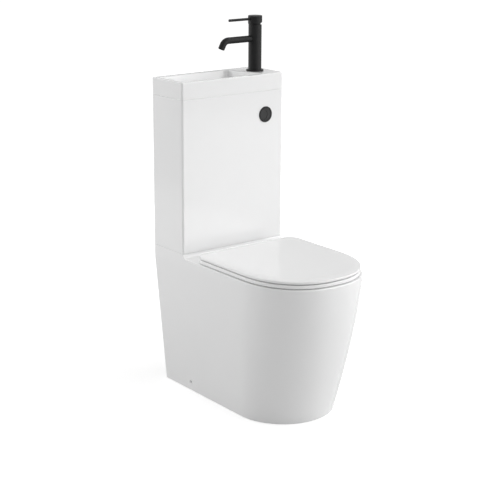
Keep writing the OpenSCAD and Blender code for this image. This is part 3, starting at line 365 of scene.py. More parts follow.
def adopt(piece: Piece, body: str, node: str, sharp: float = 32.0, weld: float = 1e-6) -> None:
    """Shades a piece smooth but for its true edges and puts it on its body, in place of a CAD node.

    Args:
        piece: The object.
        body: The body it moves with.
        node: The CAD node that it stands for.
        sharp: The angle in degrees past which an edge stays sharp.
        weld: How close corners are to be merged, in metres.
    """
    welded(piece.data, weld, outward=False)
    piece.data.shade_smooth()
    piece.data.set_sharp_from_angle(angle=math.radians(sharp))
    step = piece.modifiers.new("broad faces", "WEIGHTED_NORMAL")
    step.keep_sharp, step.weight = True, 60
    settle(piece)
    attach(piece, body)
    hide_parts(node)
    LOG.info("%s: %d faces, on %s", piece.name, len(piece.data.polygons), body)


# ------------------------------------------------------------------ node trees


def feed(tree: bpy.types.NodeTree, target: Socket, value: Value) -> None:
    """Links a field or a socket to a target socket, or sets a plain value on it."""
    source = value.source if isinstance(value, Field) else value
    if isinstance(source, Socket):
        tree.links.new(source, target)
    else:
        target.default_value = source


def math_step(operation: str, swapped: bool = False) -> Callable[["Field", Value], "Field"]:
    """Returns an operator of fields that adds one math node."""
    return lambda one, other: one.run(operation, *((other, one) if swapped else (one, other)))


class Field:
    """A number that varies over a mesh or a surface, inside a node tree."""

    def __init__(self, tree: bpy.types.NodeTree, source: Socket) -> None:
        """Keeps the tree and the socket that gives the number."""
        self.tree, self.source = tree, source

    def run(self, operation: str, *values: Value) -> "Field":
        """Feeds values into a new math node and returns what it gives."""
        node = self.tree.nodes.new("ShaderNodeMath")
        node.operation = operation
        for socket, value in zip(node.inputs, values):
            feed(self.tree, socket, value)
        return Field(self.tree, node.outputs[0])

    __add__, __sub__, __mul__ = (math_step(name) for name in ("ADD", "SUBTRACT", "MULTIPLY"))
    __truediv__, __pow__ = (math_step(name) for name in ("DIVIDE", "POWER"))
    __rsub__ = math_step("SUBTRACT", swapped=True)

    def towards(self, other: Value, share: Value) -> "Field":
        """Returns the value a share of the way from this to another."""
        return self + (other - self) * share

    def held(self, low: float = 0.0, high: Value = 1.0) -> "Field":
        """Keeps the number between two bounds."""
        return self.run("MINIMUM", self.run("MAXIMUM", self, low), high)


class Graph:
    """A node tree that is being built."""

    def __init__(self, tree: bpy.types.NodeTree) -> None:
        """Keeps the tree."""
        self.tree = tree

    @classmethod
    def of(cls, owner: Material | bpy.types.World) -> "Graph":
        """Starts the node tree of a material or a world afresh."""
        owner.use_nodes = True
        owner.node_tree.nodes.clear()
        return cls(owner.node_tree)

    def add(self, kind: str, inputs: dict[str, Value] | None = None, **settings: object) -> bpy.types.Node:
        """Adds a node of a kind, sets its attributes and feeds its inputs."""
        node = self.tree.nodes.new(kind)
        for name, value in settings.items():
            setattr(node, name, value)
        for name, value in (inputs or {}).items():
            feed(self.tree, node.inputs[name], value)
        return node

    def fields(self, sockets: Iterable[Socket]) -> list[Field]:
        """Returns sockets as fields."""
        return [Field(self.tree, socket) for socket in sockets]

    def split(self, vector: Socket) -> list[Field]:
        """Returns a vector's three numbers."""
        return self.fields(self.add("ShaderNodeSeparateXYZ", {"Vector": vector}).outputs)

    def vector(self, x: Value, y: Value, z: Value) -> Socket:
        """Returns three numbers as a vector."""
        return self.add("ShaderNodeCombineXYZ", {"X": x, "Y": y, "Z": z}).outputs[0]


class ShapeTree(Graph):
    """A Geometry Nodes tree that changes a base mesh, with named inputs for its sizes."""

    def __init__(self, name: str, sizes: Iterable[str]) -> None:
        """Starts the tree.

        Args:
            name: The tree's name.
            sizes: The names of its number inputs.
        """
        super().__init__(bpy.data.node_groups.new(name, "GeometryNodeTree"))
        face = self.tree.interface
        face.new_socket("Geometry", in_out="INPUT", socket_type="NodeSocketGeometry")
        for size in sizes:
            face.new_socket(size, in_out="INPUT", socket_type="NodeSocketFloat")
        face.new_socket("Material", in_out="INPUT", socket_type="NodeSocketMaterial")
        face.new_socket("Geometry", in_out="OUTPUT", socket_type="NodeSocketGeometry")
        self.given = self.add("NodeGroupInput")
        self.base = self.given.outputs["Geometry"]
        self.sizes = self.fields(self.given.outputs[size] for size in sizes)

    def position(self) -> list[Field]:
        """Returns the three numbers of a point's place."""
        return self.split(self.add("GeometryNodeInputPosition").outputs[0])

    def read(self, attribute: str) -> Field:
        """Returns a named number of the mesh as a field."""
        node = self.add("GeometryNodeInputNamedAttribute", {"Name": attribute}, data_type="FLOAT")
        return Field(self.tree, node.outputs["Attribute"])

    def put(self, x: Field, y: Field, z: Field) -> Socket:
        """Moves the base mesh's points to new places."""
        inputs = {"Geometry": self.base, "Position": self.vector(x, y, z)}
        return self.add("GeometryNodeSetPosition", inputs).outputs["Geometry"]

    def copied(self, points: Socket, shape: Socket) -> Socket:
        """Sets a copy of a shape on every point."""
        inputs = {"Points": points, "Instance": shape}
        return self.add("GeometryNodeInstanceOnPoints", inputs).outputs["Instances"]

    def end(self, shape: Socket) -> "ShapeTree":
        """Ends the tree in Realize Instances and Set Material."""
        plain = self.add("GeometryNodeRealizeInstances", {"Geometry": shape})
        inputs = {"Geometry": plain.outputs["Geometry"], "Material": self.given.outputs["Material"]}
        dressed = self.add("GeometryNodeSetMaterial", inputs)
        self.add("NodeGroupOutput", {"Geometry": dressed.outputs["Geometry"]})
        return self

    def formed(self, piece: Piece, sizes: dict[str, float], material: Material) -> Piece:
        """Runs the tree on a piece and keeps its result as a plain mesh.

        Args:
            piece: The object that carries the base mesh.
            sizes: The values of the tree's named inputs.
            material: The finish that it sets.

        Returns:
            The piece.
        """
        step = piece.modifiers.new(self.tree.name, "NODES")
        step.node_group = self.tree
        values = sizes | {"Material": material}
        for item in self.tree.interface.items_tree:
            if item.in_out == "INPUT" and item.name in values:
                step[item.identifier] = values[item.name]
        return settle(piece)


def screw_tree() -> ShapeTree:
    """Returns the tree that threads an upright rod between two heights and sets copies of it in a row."""
    names = ("Pitch", "Depth of thread", "Low", "High", "Side", "Depth", "Step", "Copies")
    graph = ShapeTree("Screw thread", names)
    pitch, cut, low, high, side, depth, step, copies = graph.sizes
    x, y, z = graph.position()
    climb = z / pitch + x.run("ARCTAN2", y, x) / (2 * math.pi)
    ridge = climb.run("PINGPONG", climb, 0.5) * 2.0
    threaded = z.run("GREATER_THAN", z, low) * z.run("LESS_THAN", z, high)
    radius = x.run("SQRT", x * x + y * y).held(1e-6)
    shrink = 1.0 - (ridge * threaded * cut) / radius
    row = graph.add("GeometryNodeMeshLine", {
        "Count": copies, "Start Location": graph.vector(side, depth * -1.0, 0.0),
        "Offset": graph.vector(step, 0.0, 0.0)})
    return graph.end(graph.copied(row.outputs["Mesh"], graph.put(x * shrink, y * shrink, z)))


def holes_tree(rings: int) -> ShapeTree:
    """Returns the tree that repeats a peg at a centre and in rings of six, twelve and so on round it."""
    graph = ShapeTree(f"Rings of holes {rings}", ("Spacing",))
    middle = graph.add("GeometryNodeMeshLine", {"Count": 1})
    points = graph.add("GeometryNodeJoinGeometry", {"Geometry": middle.outputs["Mesh"]})
    for ring in range(1, rings + 1):
        inputs = {"Vertices": 6 * ring, "Radius": graph.sizes[0] * float(ring)}
        around = graph.add("GeometryNodeMeshCircle", inputs)
        feed(graph.tree, points.inputs["Geometry"], around.outputs["Mesh"])
    return graph.end(graph.copied(points.outputs["Geometry"], graph.base))


def tube_tree() -> ShapeTree:
    """Returns the tree that lays a round tube along the smooth curve through a chain of points."""
    graph = ShapeTree("Tube along a path", ("Radius",))
    curve = graph.add("GeometryNodeMeshToCurve", {"Mesh": graph.base})
    smooth = graph.add("GeometryNodeCurveSplineType", {"Curve": curve.outputs["Curve"]},
                       spline_type="CATMULL_ROM")
    even = graph.add("GeometryNodeResampleCurve", {"Curve": smooth.outputs["Curve"], "Count": 90})
    ring = graph.add("GeometryNodeCurvePrimitiveCircle", {"Resolution": 20, "Radius": graph.sizes[0]})
    tube = graph.add("GeometryNodeCurveToMesh", {
        "Curve": even.outputs["Curve"], "Profile Curve": ring.outputs["Curve"], "Fill Caps": True})
    return graph.end(tube.outputs["Mesh"])


def pegs(radius: float, low: float, high: float, rings: int, spacing: float, place: Matrix,
         finish: Material) -> Piece:
    """Returns pegs that cut rings of round holes.

    Args:
        radius: Radius of a hole.
        low: Where the pegs start on their axis.
        high: Where they end.
        rings: Rings round the middle hole.
        spacing: Distance between rings.
        place: Turns and moves the whole pattern, in millimetres.
        finish: Material of the holes' walls.

    Returns:
        The pegs as one object.
    """
    peg = Solid.rod(radius, low, high, 24).made("pegs", finish)
    holes_tree(rings).formed(peg, {"Spacing": spacing * MM}, finish)
    peg.data.transform(Matrix.Scale(MM, 4) @ place @ Matrix.Scale(1 / MM, 4))
    return peg


# ------------------------------------------------------------------ finishes


class PatternTree(Graph):
    """A shader group that turns a place into a tint mask, a varying roughness and a height."""

    def __init__(self, name: str, starts: dict[str, float]) -> None:
        """Starts the group.

        Args:
            name: The group's name.
            starts: Its number inputs and their values at the start.
        """
        super().__init__(bpy.data.node_groups.new(name, "ShaderNodeTree"))
        face = self.tree.interface
        face.new_socket("Vector", in_out="INPUT", socket_type="NodeSocketVector")
        for label, start in starts.items():
            face.new_socket(label, in_out="INPUT", socket_type="NodeSocketFloat").default_value = start
        for label in ("Tint", "Roughness", "Height"):
            face.new_socket(label, in_out="OUTPUT", socket_type="NodeSocketFloat")
        self.given = self.add("NodeGroupInput").outputs

    def noise(self, place: Socket, scale: str, detail: float) -> Field:
        """Returns a noise over a place, at the scale that a named input gives."""
        inputs = {"Vector": place, "Scale": self.given[scale], "Detail": detail}
        return Field(self.tree, self.add("ShaderNodeTexNoise", inputs).outputs["Fac"])

    def end(self, mask: Field, height: Field) -> bpy.types.NodeTree:
        """Gives out the mask, a roughness that follows it and the height."""
        rough, spread = self.fields(self.given[label] for label in ("Roughness", "Spread"))
        rough = rough + (mask - 0.5) * spread
        self.add("NodeGroupOutput", {"Tint": mask, "Roughness": rough, "Height": height})
        return self.tree


@cache
def speckle_group() -> bpy.types.NodeTree:
    """Returns the shared group of small, irregular changes over a surface."""
    starts = {"Grain scale": 300.0, "Wave scale": 12.0, "Roughness": 0.3, "Spread": 0.05, "Wave share": 0.5}
    graph = PatternTree("Surface speckle", starts)
    place = graph.given["Vector"]
    grain, wave = graph.noise(place, "Grain scale", 3.0), graph.noise(place, "Wave scale", 2.0)
    return graph.end(wave, grain.towards(wave, Field(graph.tree, graph.given["Wave share"])))


@cache
def brushed_group() -> bpy.types.NodeTree:
    """Returns the shared group of fine lines that a brush leaves on metal."""
    graph = PatternTree("Brushed lines", {"Line scale": 900.0, "Roughness": 0.3, "Spread": 0.2})
    stretched = {"Vector": graph.given["Vector"], "Scale": (0.04, 0.04, 1.0)}
    place = graph.add("ShaderNodeMapping", stretched, vector_type="POINT")
    lines = graph.noise(place.outputs["Vector"], "Line scale", 3.0)
    return graph.end(lines, lines)


@dataclass(frozen=True)
class Finish:
    """What a surface is made of.

    Attributes:
        name: The material's name.
        slot: The record's material slot; not used.
        colour: Its colour, linear.
        shade: The colour where the tint mask is high.
        roughness: Its mean roughness.
        spread: How far the roughness varies.
        grain: Scale of the fine pattern, a metre.
        wave: Scale of the slow pattern, a metre.
        wave_share: How much of the height is the slow pattern.
        bump: Depth of the pattern in metres.
        settings: Plain values for the shader's own sockets.
    """

    name: str
    slot: str
    colour: Point3
    shade: Point3
    roughness: float
    spread: float = 0.08
    grain: float = 1800.0
    wave: float = 40.0
    wave_share: float = 0.2
    bump: float = 0.00004
    settings: tuple[tuple[str, float], ...] = ()

    def group(self) -> bpy.types.NodeTree:
        """Returns the node group that this finish's pattern comes from."""
        return speckle_group()

    def values(self) -> dict[str, float]:
        """Returns the values of the group's inputs."""
        return {"Grain scale": self.grain, "Wave scale": self.wave, "Roughness": self.roughness,
                "Spread": self.spread, "Wave share": self.wave_share}

    def material(self) -> Material:
        """Returns the finish as a material, made once."""
        if self.name in bpy.data.materials:
            return bpy.data.materials[self.name]
        made = bpy.data.materials.new(self.name)
        graph = Graph.of(made)
        place = graph.add("ShaderNodeTexCoord").outputs["Object"]
        pattern = graph.add("ShaderNodeGroup", node_tree=self.group())
        for label, value in (self.values() | {"Vector": place}).items():
            feed(graph.tree, pattern.inputs[label], value)
        blend = graph.add("ShaderNodeMix", {"Factor": pattern.outputs["Tint"]}, data_type="RGBA")
        for socket, colour in zip((s for s in blend.inputs if s.type == "RGBA"), (self.colour, self.shade)):
            socket.default_value = (*colour, 1.0)
        height = {"Strength": 1.0, "Distance": self.bump, "Height": pattern.outputs["Height"]}
        bump = graph.add("ShaderNodeBump", height)
        shader = graph.add("ShaderNodeBsdfPrincipled", dict(self.settings) | {
            "Base Color": next(s for s in blend.outputs if s.type == "RGBA"),
            "Roughness": pattern.outputs["Roughness"], "Normal": bump.outputs["Normal"]})
        graph.add("ShaderNodeOutputMaterial", {"Surface": shader.outputs["BSDF"]})
        return made

    def dress(self, *nodes: str) -> None:
        """Gives this finish to CAD nodes that keep their solids."""
        for node in nodes:
            slots = NODES[node].material_slots
            if not slots:
                NODES[node].data.materials.append(self.material())
            for slot in slots:
                slot.material = self.material()


@dataclass(frozen=True)
class BrushedFinish(Finish):
    """Metal with fine lines left by a brush."""

    lines: float = 1400.0

    def group(self) -> bpy.types.NodeTree:
        """Returns the group of brushed lines."""
        return brushed_group()

    def values(self) -> dict[str, float]:
        """Returns the values of the group's inputs."""
        return {"Line scale": self.lines, "Roughness": self.roughness, "Spread": self.spread}


NODES: dict[str, Piece] = {}

GLAZE = Finish("Glazed ceramic", "glaze", (0.90, 0.90, 0.90), (0.885, 0.887, 0.888), 0.10, 0.03,
               220.0, 16.0, 0.8, 0.00006, (("Coat Weight", 0.25), ("Coat Roughness", 0.04)))
BISQUE = Finish("Unglazed ceramic", "glaze", (0.80, 0.79, 0.76), (0.72, 0.70, 0.66), 0.75, 0.15,
                700.0, 30.0, 0.3, 0.00035)
SEAT_GLOSS = Finish("Gloss seat plastic", "seat_plastic", (0.935, 0.935, 0.935), (0.925, 0.925, 0.925), 0.14, 0.03,
                    1500.0, 20.0, 0.7, 0.00002, (("Coat Weight", 0.15), ("Coat Roughness", 0.05)))
BLACK_PAINT = Finish("Matt black paint", "black_paint", (0.011, 0.011, 0.0114), (0.015, 0.015, 0.0154), 0.46, 0.08,
                     2600.0, 60.0, 0.15, 0.00006, (("Specular IOR Level", 0.17),))
BLACK_PLASTIC = Finish("Matt black plastic", "black_plastic", (0.008, 0.008, 0.0083), (0.011, 0.011, 0.0113), 0.42,
                       0.08, 3200.0, 80.0, 0.1, settings=(("Specular IOR Level", 0.27),))
BUTTON_FACE = Finish("Satin black plastic", "black_plastic", (0.017, 0.017, 0.0175), (0.023, 0.023, 0.0235), 0.38,
                     0.08, 3200.0, 80.0, 0.1, settings=(("Specular IOR Level", 0.3),))
STEEL = BrushedFinish("Brushed steel", "steel", (0.60, 0.61, 0.63), (0.70, 0.71, 0.73), 0.30, 0.18,
                      bump=0.00001, settings=(("Metallic", 1.0),))
BRASS = BrushedFinish("Turned brass", "brass", (0.70, 0.52, 0.24), (0.80, 0.62, 0.32), 0.30, 0.16,
                      bump=0.00001, settings=(("Metallic", 1.0),))
RUBBER = Finish("Black rubber", "rubber", (0.030, 0.030, 0.030), (0.045, 0.045, 0.045), 0.70, 0.12,
                1200.0, 50.0, bump=0.00008)
WHITE_PLASTIC = Finish("White moulded plastic", "white_plastic", (0.80, 0.80, 0.78), (0.76, 0.76, 0.74), 0.40)
GREY_PLASTIC = Finish("Grey moulded plastic", "grey_plastic", (0.42, 0.44, 0.46), (0.38, 0.40, 0.42), 0.45)
BLUE_PLASTIC = Finish("Blue moulded plastic", "blue_plastic", (0.05, 0.18, 0.48), (0.04, 0.15, 0.42), 0.42)


# ------------------------------------------------------------------ shared levels


@dataclass(frozen=True)
class Levels:
    """Heights, places and outlines that several sub-assemblies share."""

    rim: float = 421.5
    plinth: float = 11.5
    width: float = 365.0
    depth: float = 146.0
    cistern_high: float = 449.0
    basin_high: float = 50.0
    basin_deep: float = 62.0
    corner: float = 6.0
    wall: float = 11.0
    floor: float = 14.0
    valve_depth: float = 75.0
    bolt_x: float = 86.0
    inlet_x: float = -135.0
    hose_x: float = 140.0
    hose_bore: float = 24.0
    waste_x: float = -35.0
    tap_x: float = 130.6
    tap_depth: float = 77.1
    button_x: float = 117.4
    button_up: float = 379.5
    screw_depth: float = 135.0
    screw_high: float = 28.0
    seat_gap: float = 2.6
    seat_thick: float = 9.6
    lid_gap: float = 2.5
    lid_thick: float = 9.5
    pivot_depth: float = 190.0
    pivot_rise: float = 10.5
    hinge_spacing: float = 155.0
    hinge_bolt_depth: float = 171.0

    @property
    def deck(self) -> float:
        """Top of the plinth that carries the cistern."""
        return self.rim + self.plinth

    @property
    def button(self) -> float:
        """Height of the flush button's middle."""
        return self.deck + self.button_up

    @property
    def cistern_top(self) -> float:
        """Seam between the cistern and the basin."""
        return self.deck + self.cistern_high

    @property
    def basin_top(self) -> float:
        """Top of the basin's rim."""
        return self.cistern_top + self.basin_high

    @property
    def seat_low(self) -> float:
        """Underside of the seat."""
        return self.rim + self.seat_gap

    @property
    def seat_top(self) -> float:
        """Top of the seat."""
        return self.seat_low + self.seat_thick

    @property
    def lid_low(self) -> float:
        """Underside of the lid."""
        return self.seat_top + self.lid_gap

    @property
    def pivot(self) -> float:
        """Height of the hinge pins."""
        return self.rim + self.pivot_rise


LEVELS = Levels()
OVER = 1.0  # how far a cutting tool stands out past the face that it opens, in millimetres


def block(low: float, high: float, soft_low: float, soft_high: float) -> Solid:
    """Returns the cistern's or the basin's outer block, with softly rounded lower and upper edges."""
    rows = [(inset, low + rise) for rise, inset in quarter(soft_low, 5)]
    rows += [(inset, high - drop) for inset, drop in quarter(soft_high, 6)]
    rings = []
    for inset, z in rows:
        w, d, r = LEVELS.width / 2 - inset, LEVELS.depth - inset, max(LEVELS.corner - inset, 0.4)
        back = min(inset, 3.0)
        right = [(w - r + r * math.cos(a), -d + r - r * math.sin(a)) for a in turns(0, 90, 8)]
        left = [(-w + r - r * math.sin(a), -d + r - r * math.cos(a)) for a in turns(0, 90, 8)]
        rings.append(level([(w, -back), *right, *left, (-w, -back)], z))
    return Solid.loft(rings)


# ------------------------------------------------------------------ pan


@dataclass
class Pan:
    """The one piece ceramic pan: flared skirt, rim, plinth, bowl, trapway and spigot."""

    foot_front: float = 532.0
    foot_wide: float = 300.0
    foot_wide_back: float = 289.0
    front: float = 620.0
    rim_flare: float = 2.0
    flare_power: float = 1.48
    back_flare: float = 400.0
    start_foot: float = 384.0
    start_rim: float = 416.0
    round_foot: float = 2.0
    round_rim: float = 2.3
    edge: float = 3.2
    seam: float = 0.3
    edge_blend: float = 40.0
    foot_edge: float = 1.5
    skirt_wall: float = 13.0
    deck_thick: float = 14.5
    bowl_wide: float = 270.0
    bowl_long: float = 320.0
    bowl_back: float = 261.0
    bowl_wall: float = 11.0
    bowl_round: float = 2.15
    bowl_lip: float = 5.0
    sump: float = 128.0
    outlet: float = 180.0
    outlet_r: float = 51.0
    outlet_wall: float = 11.0
    trap_r: float = 36.0
    trap_wall: float = 9.0
    duct_wide: float = 64.0
    duct_high: float = 34.0
    duct_rise: float = 55.5
    duct_wall: float = 10.0
    duct_into_bowl: float = 14.0
    spigot_back: float = 55.0
    spigot_front: float = 100.0
    boss_r: float = 68.0
    seal_r: float = 56.5
    seal_deep: float = 16.5
    bolt_bore: float = 6.0
    inlet_bore: float = 20.0
    hinge_bore: float = 7.5
    hinge_mouth: float = 8.3
    side_bore: float = 4.5
    side_bore_in: float = 120.0
    side_bore_out: float = 166.0
    bowl_profile: tuple[tuple[float, float, float, float], ...] = (
        (0.193, 0.2, 61, 0), (0.267, 0.269, 57, 0.075), (0.326, 0.325, 50, 0.177), (0.415, 0.425, 40, 0.293),
        (0.563, 0.575, 27, 0.416), (0.733, 0.731, 15, 0.552), (0.874, 0.869, 7, 0.688), (0.956, 0.95, 2, 0.825),
        (0.993, 0.994, 2, 0.927), (1, 1, 0, 1))
    trap_path: tuple[Point2, ...] = (
        (368, 185), (348, 150), (312, 131), (274, 143), (247, 180), (228, 222), (200, 250), (170, 240),
        (148, 212), (128, 188), (104, 180), (65, 180))

    # What the base mesh says of each row, and the scale of each number.
    ROWS = {"tuck": MM, "in_share": 1.0, "drop_share": 1.0, "top": 1.0}

    def sizes(self) -> dict[str, float]:
        """Returns the values of the skirt tree's inputs, lengths in metres."""
        lengths = {"Rim height": LEVELS.rim, "Plinth rise": LEVELS.plinth, "Cistern depth": LEVELS.depth,
                   "Foot reach": self.foot_front, "Rim reach": self.front, "Foot width": self.foot_wide,
                   "Foot width at the wall": self.foot_wide_back, "Rim width": LEVELS.width + self.rim_flare,
                   "Plinth width": LEVELS.width, "Back flare height": self.back_flare,
                   "Flare power": self.flare_power / MM, "Curve start at the foot": self.start_foot,
                   "Curve start at the rim": self.start_rim, "Roundness at the foot": self.round_foot / MM,
                   "Roundness at the rim": self.round_rim / MM, "Edge radius": self.edge,
                   "Seam radius": self.seam, "Edge blend": self.edge_blend}
        return {name: value * MM for name, value in lengths.items()}

    def skirt_tree(self) -> ShapeTree:
        """Returns the tree that bends a straight prism into the flared skirt.

        The base mesh holds X as the signed share of the width, Y as the share of the
        straight length below zero and of the round front above it, and Z as the height.
        Its numbers tuck, in_share, drop_share and top say how far a row is drawn in.
        """
        names = tuple(self.sizes())
        graph = ShapeTree("Flared skirt", names)
        size = dict(zip(names, graph.sizes))
        x, y, z = graph.position()
        tuck, in_share, drop_share, top = (graph.read(label) for label in self.ROWS)
        rim, plinth, cistern = size["Rim height"], size["Plinth rise"], size["Cistern depth"]
        one = x * 0.0 + 1.0
        rise = (z / rim).held()
        flare = 1.0 - (1.0 - rise) ** size["Flare power"]
        side = size["Foot width"].towards(size["Rim width"], flare) * 0.5
        back_share = (z / size["Back flare height"]).held()
        back = size["Foot width at the wall"].towards(size["Plinth width"], back_share) * 0.5
        front = size["Foot reach"].towards(size["Rim reach"], flare)
        start = size["Curve start at the foot"].towards(size["Curve start at the rim"], rise)
        power = size["Roundness at the foot"].towards(size["Roundness at the rim"], rise)
        curve = one.run("DIVIDE", 2.0, power)
        ahead = one.run("GREATER_THAN", y, 0.0)
        straight = (y + 1.0).held()
        depth_straight = straight * start
        share = ((depth_straight - cistern - size["Edge radius"]) / size["Edge blend"]).held()
        share = share.towards(one, ahead)
        radius = size["Seam radius"].towards(size["Edge radius"], share)
        inset = tuck + radius * in_share
        nose_x = (side - inset) * (one.run("ABSOLUTE", x).held() ** curve)
        nose_y = start + (front - inset - start) * (y.held() ** curve)
        wide = (back - inset).towards(side - inset, straight).towards(nose_x, ahead)
        depth = depth_straight.towards(nose_y, ahead)
        hollow = (cistern + plinth - depth).held(0.0, plinth)
        surface = rim + plinth - one.run("SQRT", (plinth ** 2.0 - hollow ** 2.0).held())
        surface = surface.towards(rim + plinth, one.run("LESS_THAN", depth, cistern))
        high = z.towards(surface - radius * drop_share, top)
        return graph.end(graph.put(wide * one.run("SIGN", x), depth * -1.0, high))

    def prism(self, name: str, rows: Sequence[Sequence[float]], stations: Sequence[float], steps: int) -> Piece:
        """Makes the straight prism that the skirt tree bends.

        Args:
            name: The object's name.
            rows: Height, tuck in millimetres, in share, drop share and top share of each row.
            stations: Depths along the straight part, at the rim.
            steps: Segments in each half of the round front.

        Returns:
            The object.
        """
        start = mixed(self.start_foot, self.start_rim, 1 - self.edge / LEVELS.rim)
        half = [(1.0, d / start - 1.0) for d in stations if d < start]
        half += [(math.cos(a) if i < steps else 0.0, max(math.sin(a), 1e-9))
                 for i, a in enumerate(turns(0, 90, steps))]
        ring = [(-x, y) for x, y in half] + half[-2::-1]
        n, k = len(ring), len(rows)
        mesh = bpy.data.meshes.new(name)
        faces = [[j * n + i, (j + 1) * n + i, (j + 1) * n + (i + 1) % n, j * n + (i + 1) % n]
                 for j in range(k - 1) for i in range(n)]
        middle = len(half) - 1
        for base, way in ((0, 1), ((k - 1) * n, -1)):
            for i in range(middle):
                far = [base + n - 2 - i] if i < middle - 1 else []
                faces.append([base + i, base + i + 1, *far, base + n - 1 - i][::way])
        mesh.from_pydata([(x, y, row[0] * MM) for row in rows for x, y in ring], [], faces)
        for index, (label, scale) in enumerate(self.ROWS.items(), start=1):
            layer = mesh.attributes.new(label, "FLOAT", "POINT")
            layer.data.foreach_set("value", [row[index] * scale for row in rows for _ in ring])
        return linked(name, mesh)

    def bent(self, tree: ShapeTree, piece: Piece, finish: Finish) -> Piece:
        """Bends a prism into its shape, turns its faces outwards and drops the numbers that shaped it."""
        tree.formed(piece, self.sizes(), finish.material())
        for label in self.ROWS:
            piece.data.attributes.remove(piece.data.attributes[label])
        welded(piece.data, 1e-7, outward=True)
        return piece

    def skirt(self, tree: ShapeTree) -> Piece:
        """Returns the outside of the pan as one closed shape."""
        rows = [(rise, tuck, 0.0, 0.0, 0.0) for rise, tuck in quarter(self.foot_edge, 4)]
        high = LEVELS.rim - self.edge
        rows += [(mixed(self.foot_edge, high, i / 40), 0.0, 0.0, 0.0, 0.0) for i in range(1, 40)]
        rows += [(high, 0.0, in_share, drop_share, 1.0) for in_share, drop_share in quarter(1.0, 10)]
        stations = [LEVELS.depth * i / 6 for i in range(6)]
        stations += [LEVELS.depth + out for out, _ in quarter(LEVELS.plinth, 12)]
        stations += [mixed(stations[-1], self.start_rim, i / 18) for i in range(1, 18)]
        return self.bent(tree, self.prism("pan_ceramic", rows, stations, 44), GLAZE)

    def hollow(self, tree: ShapeTree) -> Piece:
        """Returns the room inside the skirt."""
        heights = (-1.0, 0.0, 50.0, 100.0, 150.0, 200.0, 250.0, 300.0, 350.0, LEVELS.rim - self.deck_thick)
        rows = [(z, self.skirt_wall, 0.0, 0.0, 0.0) for z in heights]
        piece = self.bent(tree, self.prism("pan_hollow", rows, [0.0, 100.0, 200.0, 300.0], 24), BISQUE)
        for corner in piece.data.vertices:
            if corner.co.y > -1e-6:
                corner.co.y = 0.002
        return piece

    def bowl(self, wall: float) -> Solid:
        """Returns the bowl's inside, or its outside where a wall is given."""
        middle, lip = self.bowl_back + self.bowl_long / 2, self.bowl_lip
        rows = smooth_rows(self.bowl_profile, 40)
        top = LEVELS.rim - (0.0 if wall else lip)
        rings = [(self.bowl_wide / 2 * wide + wall, self.bowl_long / 2 * long + wall, middle - shift,
                  mixed(self.sump, top, high)) for wide, long, shift, high in rows]
        if wall:
            rings[0] = (*rings[0][:3], rings[0][3] - wall)
            rings[-1] = (*rings[-1][:3], LEVELS.rim - 2.0)
        else:
            rings += [(self.bowl_wide / 2 + out, self.bowl_long / 2 + out, middle, LEVELS.rim - drop)
                      for out, drop in quarter(lip, 6)[1:] + [(lip, -OVER)]]
        return Solid.loft([oval(*ring, self.bowl_round, 112) for ring in rings])

    def trapway(self, radius: float, ends: float) -> Solid:
        """Returns the trapway as a smooth bent rod, made longer at both ends."""
        path = np.array([(0.0, -d, z) for d, z in smooth_rows(self.trap_path, 60)])
        for end, near in ((0, 1), (-1, -2)):
            way = path[end] - path[near]
            path[end] += way / np.linalg.norm(way) * ends
        return Solid.sweep(path, [radius] * len(path), 48)

